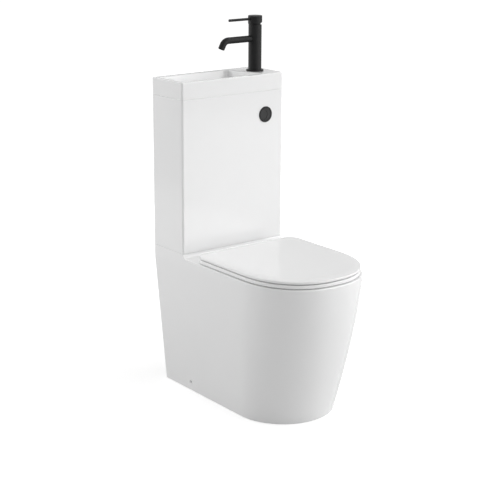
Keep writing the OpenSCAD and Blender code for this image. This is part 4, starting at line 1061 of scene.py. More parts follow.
    def make(self) -> None:
        """Makes the pan and puts it in place of its solid."""
        glaze, bare = GLAZE.material(), BISQUE.material()
        tree = self.skirt_tree()
        under, high, depth = LEVELS.rim - self.deck_thick - 10, LEVELS.deck + OVER, LEVELS.valve_depth
        duct, half, wall = LEVELS.rim - self.duct_rise, self.duct_wide / 2, self.duct_wall
        front, back, end, r = self.bowl_back + self.duct_into_bowl, self.spigot_back, self.spigot_front, self.outlet_r
        spigot = Solid.lathe(fillet([(0, back), (r, back), (r, end), (0, end)], [0, 3, 1, 0]), 96)
        outlet = Solid.rod(r - self.outlet_wall, back - OVER, end - 4, 96)
        hinge = Solid.lathe([(0, under), (self.hinge_bore, under), (self.hinge_bore, LEVELS.rim - 1),
                             (self.hinge_mouth, LEVELS.rim), (self.hinge_mouth, LEVELS.deck), (0, LEVELS.deck)], 40)
        screws = Solid.rod(self.side_bore, self.side_bore_in, self.side_bore_out, 40).turned("Y")
        screws = screws.moved(0, -LEVELS.screw_depth, LEVELS.screw_high)
        work = (
            (Cut.JOIN, "bowl_outside", bare, self.bowl(self.bowl_wall)),
            (Cut.JOIN, "trapway_outside", bare, self.trapway(self.trap_r + self.trap_wall, 0)),
            (Cut.JOIN, "inlet_boss", bare,
             Solid.rod(self.boss_r, duct - wall, LEVELS.rim - 6, 96).moved(0, -depth)),
            (Cut.JOIN, "duct", bare, Solid.box((-half - wall, -front, duct - wall),
                                               (half + wall, -depth, duct + self.duct_high + wall))),
            (Cut.JOIN, "spigot", bare, spigot.turned("X").moved(0, 0, self.outlet)),
            (Cut.AWAY, "bowl_inside", glaze, self.bowl(0)),
            (Cut.AWAY, "trapway_inside", glaze, self.trapway(self.trap_r, 2)),
            (Cut.AWAY, "duct_inside", glaze,
             Solid.box((-half, -front, duct), (half, -depth, duct + self.duct_high))),
            (Cut.AWAY, "outlet_inside", glaze, outlet.turned("X").moved(0, 0, self.outlet)),
            (Cut.AWAY, "flush_bore", glaze, Solid.rod(half, duct, high, 96).moved(0, -depth)),
            (Cut.AWAY, "seal_seat", glaze,
             Solid.rod(self.seal_r, LEVELS.rim - self.seal_deep, high, 96).moved(0, -depth)),
            (Cut.AWAY, "bolt_bores", glaze,
             Solid.rod(self.bolt_bore, under, high, 40).moved(LEVELS.bolt_x, -depth).both()),
            (Cut.AWAY, "hinge_bores", glaze,
             hinge.moved(LEVELS.hinge_spacing / 2, -LEVELS.hinge_bolt_depth).both()),
            (Cut.AWAY, "side_bores", glaze, screws.both()),
            (Cut.AWAY, "inlet_bore", glaze,
             Solid.rod(self.inlet_bore, under, high, 64).moved(LEVELS.inlet_x, -depth)),
            (Cut.AWAY, "hose_bore", glaze,
             Solid.rod(LEVELS.hose_bore, under, high, 64).moved(LEVELS.hose_x, -depth)),
        )
        tools = [(cut, solid.made(name, finish)) for cut, name, finish, solid in work]
        piece = carve(self.skirt(tree), (Cut.AWAY, self.hollow(tree)), *tools)
        adopt(piece, "toilet", "pan", weld=2e-5)


# ------------------------------------------------------------------ cistern and basin


@dataclass
class Cistern:
    """The tall open topped cistern, with its bores."""

    top_seam: float = 0.5
    seam: float = 1.5
    partition_x: float = 104.0
    partition_wall: float = 8.0
    partition_high: float = 307.0
    button_bore: float = 22.0
    valve_bore: float = 31.5
    inlet_bore: float = 11.4
    bolt_bore: float = 5.5
    room_soft: float = 8.0

    def bore(self, radius: float, x: float, sides: int = 64) -> Solid:
        """Returns a tool that bores the floor at a side position."""
        low = LEVELS.deck - OVER
        return Solid.rod(radius, low, LEVELS.deck + LEVELS.floor + OVER, sides).moved(x, -LEVELS.valve_depth)

    def make(self) -> None:
        """Makes the cistern and puts it in place of its solid."""
        glaze, bare = GLAZE.material(), BISQUE.material()
        side, left = LEVELS.width / 2 - LEVELS.wall, self.partition_x
        right = left + self.partition_wall
        front, back = LEVELS.wall - LEVELS.depth, -LEVELS.wall
        floor, top = LEVELS.deck + LEVELS.floor, LEVELS.cistern_top + OVER
        tank = Solid.box((-side, front, floor), (left, back, top)).made("tank_room", bare)
        dry = Solid.box((right, front, floor), (side, back, top)).made("dry_room", bare)
        over = Solid.box((left - 5, front, floor + self.partition_high), (left + 20, back, top))
        bores = self.bore(self.valve_bore, 0).plus(self.bore(self.inlet_bore, LEVELS.inlet_x, 48))
        bores = bores.plus(self.bore(LEVELS.hose_bore, LEVELS.hose_x))
        bores = bores.plus(self.bore(self.bolt_bore, LEVELS.bolt_x, 40).both())
        button = Solid.rod(self.button_bore, -2, LEVELS.wall + 2, 96).turned("X", -90)
        button = button.moved(LEVELS.button_x, -LEVELS.depth, LEVELS.button)
        piece = block(LEVELS.deck, LEVELS.cistern_top, self.seam, self.top_seam).made("cistern_ceramic", glaze)
        carve(piece, (Cut.AWAY, softened(tank, self.room_soft, 4)),
              (Cut.AWAY, softened(dry, self.room_soft, 4)),
              (Cut.AWAY, over.made("way_over", bare)), (Cut.AWAY, bores.made("floor_bores", glaze)),
              (Cut.AWAY, button.made("button_bore", glaze)))
        adopt(piece, "toilet", "cistern")


@dataclass
class Basin:
    """The shallow basin that closes the cistern, with its tap ledge."""

    rim: float = 12.0
    rim_back: float = 16.0
    ledge: float = 16.0
    lip: float = 3.5
    floor_round: float = 10.0
    slope: float = 15.0
    corner: float = 7.0
    right_back: float = 78.0
    right_front: float = 114.0
    edge: float = 1.6
    seam: float = 1.8
    play: float = 1.5
    clamp_room: float = 23.0
    tap_bore: float = 17.5
    waste_bore: float = 22.0

    def recess(self, inset: float, z: float, steps: int = 8) -> np.ndarray:
        """Returns one ring of the recess, drawn in by an inset on every side."""
        left, back = -LEVELS.width / 2 + self.rim + inset, self.rim_back + inset
        rb, rf, r = self.right_back - inset, self.right_front - inset, self.corner
        front = LEVELS.depth - self.rim - inset
        lean = math.degrees(math.atan((rf - rb) / (front - back)))
        points = [(left + r - r * math.sin(a), -back - r + r * math.cos(a)) for a in turns(0, 90, steps)]
        points += [(left + r - r * math.cos(a), -front + r - r * math.sin(a)) for a in turns(0, 90, steps)]
        shift = lean / 12
        points += [(rf - r + r * math.cos(a) - shift, -front + r + r * math.sin(a)) for a in turns(-90, lean, steps)]
        points += [(rb - r + r * math.cos(a) + shift, -back - r + r * math.sin(a)) for a in turns(lean, 90, steps)]
        return level(points, z)

    def make(self) -> None:
        """Makes the basin and puts it in place of its solid."""
        glaze, bare = GLAZE.material(), BISQUE.material()
        top, low, wall = LEVELS.basin_top, LEVELS.cistern_top, LEVELS.wall
        floor, side = top - LEVELS.basin_deep, LEVELS.width / 2 - wall
        profile = fillet([(40, floor), (self.slope - 0.5, floor), (0, top), (-20, top)],
                         [0, self.floor_round, self.lip, 0], 8)[:-1]
        profile += [(profile[-1][0], top + 2)]
        left, back, front = self.play - side, -wall - self.play, wall + self.play - LEVELS.depth
        outline = [(left, back), (left, front), (self.right_front - 3.0, front), (self.right_back - 3.0, back)]
        under = Solid.loft([level(outline, z) for z in (floor - wall, low + 2)])
        pocket = [(self.right_back + wall, -wall), (self.right_front + wall, wall - LEVELS.depth),
                  (side, wall - LEVELS.depth), (side, -wall)]
        room = Solid.loft([level(pocket, z) for z in (low - OVER, top - self.ledge)])
        clamp, tap = (Solid.rod(r, low - OVER, high, sides).moved(LEVELS.tap_x, -LEVELS.tap_depth)
                      for r, high, sides in ((self.clamp_room, top - self.ledge, 64),
                                             (self.tap_bore, top + OVER, 72)))
        waste = Solid.rod(self.waste_bore, floor - wall - OVER, floor + 5, 72)
        waste = waste.moved(LEVELS.waste_x, -LEVELS.valve_depth)
        recess = Solid.loft([self.recess(inset, z) for inset, z in profile])
        piece = block(low, top, self.seam, self.edge).made("basin_ceramic", glaze)
        carve(piece, (Cut.AWAY, room.made("ledge_pocket", bare)),
              (Cut.JOIN, softened(under.made("basin_underside", bare), 6.0, 4)),
              (Cut.AWAY, clamp.made("clamp_room", bare)), (Cut.AWAY, recess.made("recess", glaze)),
              (Cut.AWAY, waste.made("waste_bore", glaze)), (Cut.AWAY, tap.made("tap_bore", glaze)))
        adopt(piece, "toilet", "basin")


# ------------------------------------------------------------------ seat and lid


@dataclass
class SeatAndLid:
    """The slim D shaped seat and lid with their knuckles."""

    wide: float = 360.0
    back: float = 200.3
    front: float = 614.9
    corner: float = 35.0
    straight: float = 416.4
    power: float = 2.25
    top_edge: float = 3.0
    under_edge: float = 1.5
    lid_edge: float = 1.6
    crown: float = 2.2
    crown_wide: float = 28.0
    lid_lift: float = 0.5
    lip_wide: float = 5.0
    lip_gap: float = 0.6
    open_wide: float = 216.0
    open_long: float = 292.0
    open_power: float = 2.4
    open_middle: float = 412.0
    open_edge: float = 5.0
    knuckle_r: float = 7.0
    knuckle_long: float = 24.0
    pin_bore: float = 4.05
    damper_r: float = 5.5
    post_wide: float = 15.0
    notch: float = 2.4
    notch_deep: float = 208.5
    web_deep: float = 207.0

    def outline(self, inset: float, z: float) -> np.ndarray:
        """Returns the D shaped outline, drawn in by an inset."""
        w, back, r = self.wide / 2 - inset, self.back + inset, self.corner - inset
        nose, bend = self.front - inset - self.straight, 2 / self.power
        half = [(w - r + r * math.sin(a), back + r - r * math.cos(a)) for a in turns(0, 90, 10)]
        half += [(w * max(0.0, math.cos(a)) ** bend, self.straight + nose * math.sin(a) ** bend)
                 for a in turns(0, 90, 60)]
        return level([(-x, -d) for x, d in half] + [(x, -d) for x, d in half[-2::-1]], z)

    def slab(self, low: float, high: float, edge: float, crown: float = 0.0, foot: float = 0.0) -> Solid:
        """Returns a slab with rounded edges and a top that rises by a crown.

        Args:
            low: Height of its underside.
            high: Height of the middle of its top.
            edge: Radius of its upper edge.
            crown: How much lower the top lies at the edge.
            foot: How far the underside stands down behind its shallow lip.

        Returns:
            The slab.
        """
        rows = [(inset, low + rise) for rise, inset in quarter(self.under_edge, 4)]
        rows += [(inset, high - crown - drop) for inset, drop in quarter(edge, 7, 84.0 if crown else 90.0)]
        if foot:
            lip, down = self.lip_wide, low - foot
            rows = [(lip + 1.0, down), (lip + 0.4, down + 0.3), (lip, low)] + rows
        if crown:
            rows += [(mixed(edge, self.crown_wide, t), high - crown * (1 - t) ** 2)
                     for t in (0.06, 0.15, 0.3, 0.5, 0.75, 1.0)]
        return Solid.loft([self.outline(inset, z) for inset, z in rows])

    def along_pin(self, radius: float, x1: float, x2: float) -> Solid:
        """Returns a rod on the pivot line between two side positions."""
        return Solid.rod(radius, x1, x2, 48).turned("Y").moved(0, -LEVELS.pivot_depth, LEVELS.pivot)

    def seat(self, seat_x: float, lid_x: float) -> None:
        """Makes the seat, with knuckles from one side position and notches for the lid's at the other."""
        gloss, low, high = SEAT_GLOSS.material(), LEVELS.seat_low, LEVELS.seat_top
        rows = [(1.2, low - 3), (1.2, low), (0.4, low + 0.8), (0, low + 3)]
        rows += [(out, high - drop) for out, drop in quarter(self.open_edge, 8)]
        rows += [(self.open_edge, high + OVER)]
        opening = Solid.loft([oval(self.open_wide / 2 + out, self.open_long / 2 + out, self.open_middle, z,
                                   self.open_power, 120) for out, z in rows])
        end = seat_x + self.knuckle_long
        ear = Solid.box((seat_x, -self.back - 6, low), (end, -LEVELS.pivot_depth, high))
        notch = Solid.box((lid_x - self.notch, -self.notch_deep, low - 3),
                          (lid_x + self.knuckle_long + self.notch, -1.5, high + OVER))
        seat = self.slab(low, high, self.top_edge, foot=LEVELS.seat_gap - self.lip_gap).made("seat_ring", gloss)
        carve(seat, (Cut.AWAY, opening.made("seat_opening", gloss)),
              (Cut.JOIN, ear.both().made("seat_ears", gloss)),
              (Cut.JOIN, self.along_pin(self.knuckle_r, seat_x, end).both().made("seat_knuckles", gloss)),
              (Cut.AWAY, self.along_pin(self.pin_bore, seat_x - 1, end + 1).both().made("pin_bores", gloss)),
              (Cut.AWAY, self.along_pin(self.damper_r, seat_x + 2, end + 1).made("damper_bore", gloss)),
              (Cut.AWAY, softened(notch.both().made("notches", gloss), 2.0)))
        adopt(seat, "seat", "seat")

    def lid(self, lid_x: float) -> None:
        """Makes the lid, with knuckles from a side position."""
        gloss, low, high = SEAT_GLOSS.material(), LEVELS.lid_low, LEVELS.lid_low + LEVELS.lid_thick
        end, r = lid_x + self.knuckle_long, self.knuckle_r
        ring = [(-LEVELS.pivot_depth + r * 0.35, LEVELS.pivot + r * 0.93), (-self.web_deep, high - 2),
                (-self.web_deep, low + 1), (-LEVELS.pivot_depth - 4, LEVELS.pivot - r * 0.75)]
        web = Solid.loft([np.array([(x, y, z) for y, z in ring]) for x in (lid_x, end)])
        lid = self.slab(low + self.lid_lift, high, self.lid_edge, self.crown).made("lid_shell", gloss)
        carve(lid, (Cut.JOIN, web.both().made("lid_webs", gloss)),
              (Cut.JOIN, self.along_pin(r, lid_x, end).both().made("lid_knuckles", gloss)),
              (Cut.AWAY, self.along_pin(self.pin_bore, lid_x - 1, end + 1).both().made("pin_bores", gloss)),
              (Cut.AWAY, self.along_pin(self.damper_r, -end + 2, -lid_x + 1).made("damper_bore", gloss)))
        adopt(lid, "lid", "lid")

    def make(self) -> None:
        """Makes the seat and the lid and puts them in place of their solids."""
        post = LEVELS.hinge_spacing / 2
        lid_x = post - self.post_wide / 2 - 1 - self.knuckle_long
        self.seat(post + self.post_wide / 2 + 1, lid_x)
        self.lid(lid_x)


# ------------------------------------------------------------------ tap


@dataclass
class Tap:
    """The mono mixer: body, base ring, spout, dome, cap and lever."""

    high: float = 162.7
    tilt: float = 140.0
    body_r: float = 19.6
    ring_r: float = 26.0
    seal: float = 0.8
    ring_high: float = 3.4
    lean: float = 7.0
    body_drop: float = 2.8
    body_lean: float = 3.9
    body_edge: float = 0.5
    chamber_r: float = 15.5
    chamber_deep: float = 32.0
    dome_seat: float = 8.0
    dome_play: float = 0.4
    inlet_bore: float = 4.6
    stud_bore: float = 4.05
    lever_root: float = 13.8
    lever_neck: float = 17.6
    cap_rise: float = 1.4
    dome_r: float = 16.5
    dome_inside: float = 14.9
    cap_r: float = 21.0
    cap_hollow: float = 17.4
    cap_edge: float = 0.8
    cap_bevel: float = 0.4
    lever_r: float = 3.9
    lever_reach: float = 96.3
    lever_up: float = 153.5
    spout_up: float = 95.9
    spout_r: float = 9.7
    spout_wall: float = 2.0
    spout_reach: float = 98.9
    bend_r: float = 22.0
    bend: float = 62.0
    mouth: float = 13.0
    aerator_in: float = 2.6

    def leaning(self, radius: float, base: float, slope: float) -> np.ndarray:
        """Returns a ring on a leaning plane that crosses the axis at a height."""
        ring = circle(radius, 96)
        ring[:, 2] = base + ring[:, 0] * math.tan(math.radians(slope))
        return ring

    def placed(self, solid: Solid, name: str, finish: Finish = BLACK_PAINT) -> Piece:
        """Puts a solid on the tap's axis and makes it an object."""
        return solid.moved(LEVELS.tap_x, -LEVELS.tap_depth, LEVELS.basin_top).made(name, finish.material())

    def body(self) -> Piece:
        """Returns the body with its leaning top and its chamber."""
        cut, slope, dome = self.tilt - self.body_drop, -self.body_lean, self.dome_r + self.dome_play
        rings = [circle(self.body_r, 96, z) for z in (self.seal, 40.0, 80.0, 120.0)]
        rings += [self.leaning(self.body_r - inset, cut - drop, slope)
                  for inset, drop in quarter(self.body_edge, 4)]
        rings += [self.leaning(dome, cut, slope), circle(dome, 96, self.tilt - self.dome_seat)]
        rings += [circle(self.chamber_r, 96, z) for z in (self.tilt - self.dome_seat, self.tilt - self.chamber_deep)]
        inlets = [Solid.rod(self.inlet_bore, 0, self.seal + 14, 40).moved(6, y) for y in (7, -7)]
        bores = inlets[0].plus(inlets[1]).plus(Solid.rod(self.stud_bore, 0, 20, 40).moved(-8, 0))
        made = self.placed(Solid.loft(rings), "tap_body_shell")
        return carve(made, (Cut.AWAY, self.placed(bores, "tap_bores")))

    def aerator(self) -> Piece:
        """Returns the aerator that sits in the spout's mouth, with rings of fine holes."""
        bend, grey, r = math.radians(self.bend), GREY_PLASTIC.material(), self.spout_r - 1.1
        down = Vector((-math.cos(bend), 0.0, -math.sin(bend)))
        start = Vector((-self.spout_reach, 0.0, self.spout_up - self.bend_r))
        end = start + Vector((-math.sin(bend), 0.0, math.cos(bend))) * self.bend_r
        end = end + down * (self.mouth - self.aerator_in)
        place = Matrix.Translation(end + Vector((LEVELS.tap_x, -LEVELS.tap_depth, LEVELS.basin_top)))
        place = place @ down.to_track_quat("Z", "X").to_matrix().to_4x4()
        profile = fillet([(0, -5.5), (r, -5.5), (r, -0.5), (r - 1.2, -0.5), (r - 1.2, -1.3), (0, -1.3)],
                         [0, 0.5, 0.5, 0.2, 0.2, 0], 5)
        made = Solid.lathe(profile, 64).carried(place).made("aerator_cup", grey)
        return carve(made, (Cut.AWAY, pegs(0.75, -4.0, 1.0, 2, 2.5, place, grey)))

    def stem(self) -> Piece:
        """Returns the flat stem that joins the cap to the rotor."""
        stem = Solid.box((-4, -3, self.tilt - 10.5), (4, 3, self.high - 2.6))
        bore = Solid.rod(2.1, -4, 4, 24).turned("X").moved(0, 0, self.tilt)
        made = softened(self.placed(stem, "flat_stem", STEEL), 0.4, 2)
        return carve(made, (Cut.AWAY, self.placed(bore, "pin_bore", STEEL)))

    def grub(self) -> Piece:
        """Returns the grub screw that holds the cap on the stem."""
        profile = fillet([(0, 4.1), (2, 4.1), (2, 15.0), (0, 15.0)], [0, 0.4, 0.4, 0], 4)
        screw, socket = (solid.turned("Y").moved(0, 0, self.high - 5.0)
                         for solid in (Solid.lathe(profile, 36), Solid.rod(1.1, 13.4, 16.0, 6)))
        return carve(self.placed(screw, "grub", STEEL), (Cut.AWAY, self.placed(socket, "grub_socket", STEEL)))

    def spout(self) -> Piece:
        """Returns the hollow spout with its bend and its recessed mouth."""
        r, a = self.spout_r, math.radians(self.bend)
        centre = np.array([-self.spout_reach, 0.0, self.spout_up - self.bend_r])
        down = np.array([-math.cos(a), 0.0, -math.sin(a)])
        path = [np.array([x, 0.0, self.spout_up]) for x in np.linspace(-11.0, -self.spout_reach, 14)]
        path += [centre + self.bend_r * np.array([-math.sin(a), 0.0, math.cos(a)])
                 for a in turns(0, self.bend, 20)[1:]]
        path += [path[-1] + down * self.mouth * s for s in (0.25, 0.5, 0.75)]
        end = path[-1] + down * self.mouth * 0.25
        rows = [(p, r) for p in path] + [(end - down * 0.5, r), (end - down * 0.15, r - 0.15), (end, r - 0.5)]
        ahead = np.gradient(np.array([p for p, _ in rows]), axis=0)[:len(path)]
        rows += [(end, r - 0.75), (end - down * 0.3, r - 0.95), (end - down * 8.5, r - 1.0)]
        rows += [(p, r - self.spout_wall) for p in path[-3::-1]]
        ahead = np.concatenate([ahead, [down] * 6, ahead[-3::-1]])
        points, radii = zip(*rows)
        return self.placed(Solid.sweep(np.array(points), radii, 56, Caps.LOOP, ahead), "tap_spout_tube")

    def cap(self) -> Solid:
        """Returns the cap with its leaning lower edge and its round hollow."""
        cut, top = self.tilt + self.cap_rise, self.high
        rings = [circle(0.05, 96, top)]
        rings += [circle(self.cap_r - inset, 96, top - drop) for drop, inset in quarter(self.cap_edge, 5)]
        rings += [self.leaning(self.cap_r - inset, cut + rise, self.lean)
                  for inset, rise in quarter(self.cap_bevel, 4)]
        rings += [self.leaning(self.cap_hollow, cut, self.lean)]
        rings += [circle(r, 96, z) for r, z in bow(self.cap_hollow, 26, 89.8, 10, 0.0, self.tilt)]
        return Solid.loft(rings)

    def make(self) -> None:
        """Makes the tap's outer pieces and puts them in place of their solids."""
        low, inside = self.seal, self.body_r + 0.2
        ring = fillet([(inside, low), (self.ring_r, low), (self.ring_r, low + self.ring_high),
                       (inside, low + self.ring_high)],
                      [0, 0.5, 1.4, 0])
        dome = bow(self.dome_r, -29, 50.5, 20, 0.0, self.tilt)
        dome += bow(self.dome_inside, 45.2, -32, 16, 0.0, self.tilt)
        root, neck, reach = self.lever_root, self.lever_neck, self.lever_reach
        rod = fillet([(0, root), (3, root), (3, neck), (self.lever_r, neck), (self.lever_r, reach), (0, reach)],
                     [0, 0, 0, 0, 1.0, 0])
        lever = Solid.lathe(rod, 48).turned("Y", -90).moved(0, 0, self.lever_up)
        adopt(self.body(), "toilet", "tap_body", 30.0)
        adopt(self.placed(Solid.lathe(ring, 120), "tap_ring"), "toilet", "tap_base_ring", 30.0)
        adopt(self.spout(), "toilet", "tap_spout", 40.0)
        adopt(self.placed(Solid.lathe(dome, 96), "tap_dome_shell"), "toilet", "tap_dome", 40.0)
        adopt(self.placed(self.cap(), "tap_cap_shell"), "tap_handle", "tap_cap", 30.0)
        adopt(self.placed(lever, "tap_lever_rod"), "tap_handle", "tap_lever", 30.0)
        adopt(self.stem(), "tap_handle", "cartridge_stem", 30.0)
        adopt(self.grub(), "tap_handle", "tap_grub_screw", 30.0)
        adopt(self.aerator(), "toilet", "aerator", 30.0)


# ------------------------------------------------------------------ flush button


@dataclass
class FlushButton:
    """The round dual flush button on the cistern's front."""

    radius: float = 23.6
    proud: float = 2.0
    sleeve: float = 21.5
    bore: float = 20.0
    back: float = 26.0
    split_x: float = -12.0
    split_r: float = 17.0
    split_gap: float = 1.0
    face: float = 1.5
    face_play: float = 0.7
    travel: float = 6.0
    bellows_front: float = 6.05
    full_x: float = -6.0
    half_x: float = 13.5
    fold: float = 1.6
    fold_high: float = 2.0
    nipple_r: float = 2.4

    def placed(self, solid: Solid, name: str, finish: Finish) -> Piece:
        """Turns a solid made about Z to face forward and puts it on the cistern's front."""
        turned = solid.turned("X").moved(LEVELS.button_x, -LEVELS.depth, LEVELS.button)
        return turned.made(name, finish.material())

    def face_outline(self, full: bool) -> list[Point2]:
        """Returns the outline of the full or of the half flush button."""
        big, small = self.bore - self.face_play, self.split_r + (0.0 if full else self.split_gap)
        cross = (big ** 2 - small ** 2 + self.split_x ** 2) / (2 * self.split_x)
        high = math.sqrt(big ** 2 - cross ** 2)
        outer = math.degrees(math.atan2(high, cross))
        inner = math.degrees(math.atan2(high, cross - self.split_x))
        rim = bow(big, outer, 360 - outer if full else -outer, 80)
        return bow(small, -inner, inner, 40, self.split_x) + rim[1:-1]

    def bellows(self, name: str, side: float, radius: float) -> None:
        """Makes the folded rubber bellows behind one button and gives it a mesh of its own."""
        front, back = -self.bellows_front, 2.0 - self.back
        folds = [(radius - self.fold * (i % 2), back + self.fold_high * (i + 1)) for i in range(8)]
        profile = fillet([(0, back), (radius - 1.2, back), *folds, (radius, front), (0, front)],
                         [0, 0.5, *[0.5] * 8, 0.4, 0], 4)
        made = self.placed(Solid.lathe(profile, 64).moved(side), name, RUBBER)
        adopt(made, "toilet", "button_bellows", 50.0)
        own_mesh(made)

    def make(self) -> None:
        """Makes the bezel, the two buttons and their bellows and puts them in place of their solids."""
        back = -self.back
        bezel = fillet([(self.bore, back + 2), (self.bore, self.proud), (self.radius, self.proud), (self.radius, 0),
                        (self.sleeve, 0), (self.sleeve, back), (0, back), (0, back + 2)],
                       [0, 0.5, 0.9, 0, 0, 0.6, 0, 0], 5)
        made = self.placed(Solid.lathe(bezel, 120), "button_ring", BLACK_PLASTIC)
        nipple = Solid.rod(self.nipple_r, back - 5, back + 1, 32)
        nipples = nipple.moved(self.full_x).plus(nipple.moved(self.half_x))
        carve(made, (Cut.JOIN, self.placed(nipples, "nipples", BLACK_PLASTIC)))
        adopt(made, "toilet", "button_bezel", 30.0)
        for full, x, stem_r, kind in ((True, self.full_x, 3.0, "full"), (False, self.half_x, 2.0, "half")):
            outline = self.face_outline(full)
            plate = Solid.loft([level(outline, z) for z in (-self.face, self.face)])
            made = softened(self.placed(plate, f"{kind}_button_plate", BUTTON_FACE), 0.5)
            stem = self.placed(Solid.rod(stem_r, -6.0, -1.4, 32).moved(x), "stem", BUTTON_FACE)
            adopt(carve(made, (Cut.JOIN, stem)), f"{kind}_button", f"button_{kind}")
        self.bellows("full_bellows", self.full_x, 7.5)
        self.bellows("half_bellows", self.half_x, 5.0)


# ------------------------------------------------------------------ fasteners


@dataclass(frozen=True)
class Screw:
    """A threaded rod with or without a head.

    Attributes:
        node: The CAD node that it stands for.
        low: Height of its lower end.
        high: Height of its shank's upper end.
        side: Its place across, and that of the first copy.
        depth: Its distance from the wall.
        copies: How many there are, mirrored about the middle when two.
        head_r: Radius of the head, 0 for none.
        head_high: Height of the head.
        hexagonal: Whether the head has six sides.
        radius: Radius of its shank.
        pitch: Climb of the thread in a turn.
        chamfer: How far its lower end narrows.
    """

    node: str
    low: float
    high: float
    side: float
    depth: float
    copies: int = 1
    head_r: float = 0.0
    head_high: float = 0.0
    hexagonal: bool = False
    radius: float = 4.0
    pitch: float = 1.4
    chamfer: float = 0.8

    def ring(self, radius: float, z: float) -> np.ndarray:
        """Returns one ring of the head, six sided where the head is."""
        points = circle(radius, 36, z)
        if self.hexagonal:
            angle = np.degrees(np.arctan2(points[:, 1], points[:, 0])) % 60.0 - 30.0
            points[:, :2] *= (math.cos(math.radians(30)) / np.cos(np.radians(angle)))[:, None]
        return points

    def make(self, tree: ShapeTree) -> None:
        """Makes the screws and puts them in place of their solids."""
        rows = int((self.high - self.low) / self.pitch * 6)
        rings = [circle(self.radius - self.chamfer, 36, self.low)]
        rings += [circle(self.radius, 36, mixed(self.low + self.chamfer, self.high, i / rows)) for i in range(rows + 1)]
        if self.head_r:
            top, share = self.high + self.head_high, 0.88 if self.hexagonal else 0.9
            rings += [self.ring(self.head_r, z) for z in (self.high, top - 0.7)]
            rings += [circle(self.head_r * share, 36, top)]
        sizes = {"Pitch": self.pitch, "Depth of thread": self.pitch * 0.5, "Low": self.low + 0.9,
                 "High": self.high - 1.5, "Side": -self.side if self.copies > 1 else self.side,
                 "Depth": self.depth, "Step": 2 * self.side}
        values = {name: value * MM for name, value in sizes.items()} | {"Copies": float(self.copies)}
        steel = STEEL.material()
        piece = tree.formed(Solid.loft(rings).made(self.node + "_thread", steel), values, steel)
        adopt(piece, "toilet", self.node, 40.0)


@dataclass
class Fittings:
    """The screws, the basin's waste and the air hoses."""

    screws: tuple[Screw, ...] = (
        Screw("cistern_bolts", 383.0, 451.0, 86.0, 75.0, 2, 7.5, 5.5, True),
        Screw("hinge_bolts", 387.0, 424.0, 77.5, 171.0, 2, 6.2, 3.5),
        Screw("tap_stud", 885.0, 951.0, 122.6, 77.1),
    )
    side_head: float = 144.0
    flange: float = 29.0
    tail: float = 20.9
    hose_r: float = 2.5
    hoses: tuple[tuple[Point3, ...], ...] = (
        ((111.4, 115, 0), (111.4, 108, 0), (106, 99, -1.5), (90, 91, -6.5), (68, 85, -16.5), (46, 80, -32.5),
         (26, 77, -54.5), (13, 75.5, -78.5), (8, 75, -98.5), (8, 75, -112.5)),
        ((130.9, 115, 0), (130.9, 107, 0), (125, 99, -4.5), (107, 95, -14.5), (82, 92, -30.5), (56, 89, -48.5),
         (30, 85, -66.5), (8, 80, -81.5), (-5, 76, -96.5), (-8, 75, -106.5), (-8, 75, -112.5)),
    )

    def waste(self) -> None:
        """Makes the slotted basin waste with its dished flange."""
        steel, low, r, tail = STEEL.material(), LEVELS.basin_top - LEVELS.basin_deep, self.flange, self.tail
        profile = fillet([(0, low), (tail - 2.5, low), (tail - 2.5, low - 37), (tail, low - 37), (tail, low + 1),
                          (r, low + 1), (r, low + 2.4), (r - 3, low + 3), (tail - 3, low + 2.3), (0, low + 2.0)],
                         [0, 0.5, 0.4, 0.4, 0.3, 0.3, 0.7, 2.0, 2.0, 0], 5)
        place = Matrix.Translation((LEVELS.waste_x, -LEVELS.valve_depth, low))
        made = Solid.lathe(profile, 96).moved(LEVELS.waste_x, -LEVELS.valve_depth).made("waste_flange", steel)
        carve(made, (Cut.AWAY, pegs(4.0, -5.0, 5.0, 1, 11.0, place, steel)))
        adopt(made, "toilet", "basin_waste")

    def side_screws(self) -> None:
        """Makes the two screws low on the pan's sides, sunk in their holes."""
        steel = STEEL.material()
        profile = fillet([(0, -17.0), (2.5, -17.0), (2.5, -3.0), (4.2, -3.0), (4.2, 0), (0, 0)],
                         [0, 0.6, 0.2, 0.2, 1.0, 0], 5)
        heads, sockets = (solid.turned("Y").moved(self.side_head, -LEVELS.screw_depth, LEVELS.screw_high).both()
                          for solid in (Solid.lathe(profile, 48), Solid.rod(2.2, -1.8, 1.0, 6)))
        made = carve(heads.made("side_screw_heads", steel), (Cut.AWAY, sockets.made("sockets", steel)))
        adopt(made, "toilet", "side_screws")

    def air_hoses(self) -> None:
        """Makes the two air hoses from the button to the flush valve."""
        points = [(x * MM, -d * MM, (LEVELS.button + rise) * MM) for hose in self.hoses for x, d, rise in hose]
        edges = [(i, i + 1) for i in range(len(points) - 1) if i + 1 != len(self.hoses[0])]
        mesh = bpy.data.meshes.new("air_hose_tubes")
        mesh.from_pydata(points, edges, [])
        bare, grey = linked("air_hose_tubes", mesh), GREY_PLASTIC.material()
        made = tube_tree().formed(bare, {"Radius": self.hose_r * MM}, grey)
        adopt(made, "toilet", "air_hoses", 40.0)

    def make(self) -> None:
        """Makes every fitting."""
        tree = screw_tree()
        for screw in self.screws:
            screw.make(tree)
        self.waste()
        self.side_screws()
        self.air_hoses()


# ------------------------------------------------------------------ pieces that keep their solids


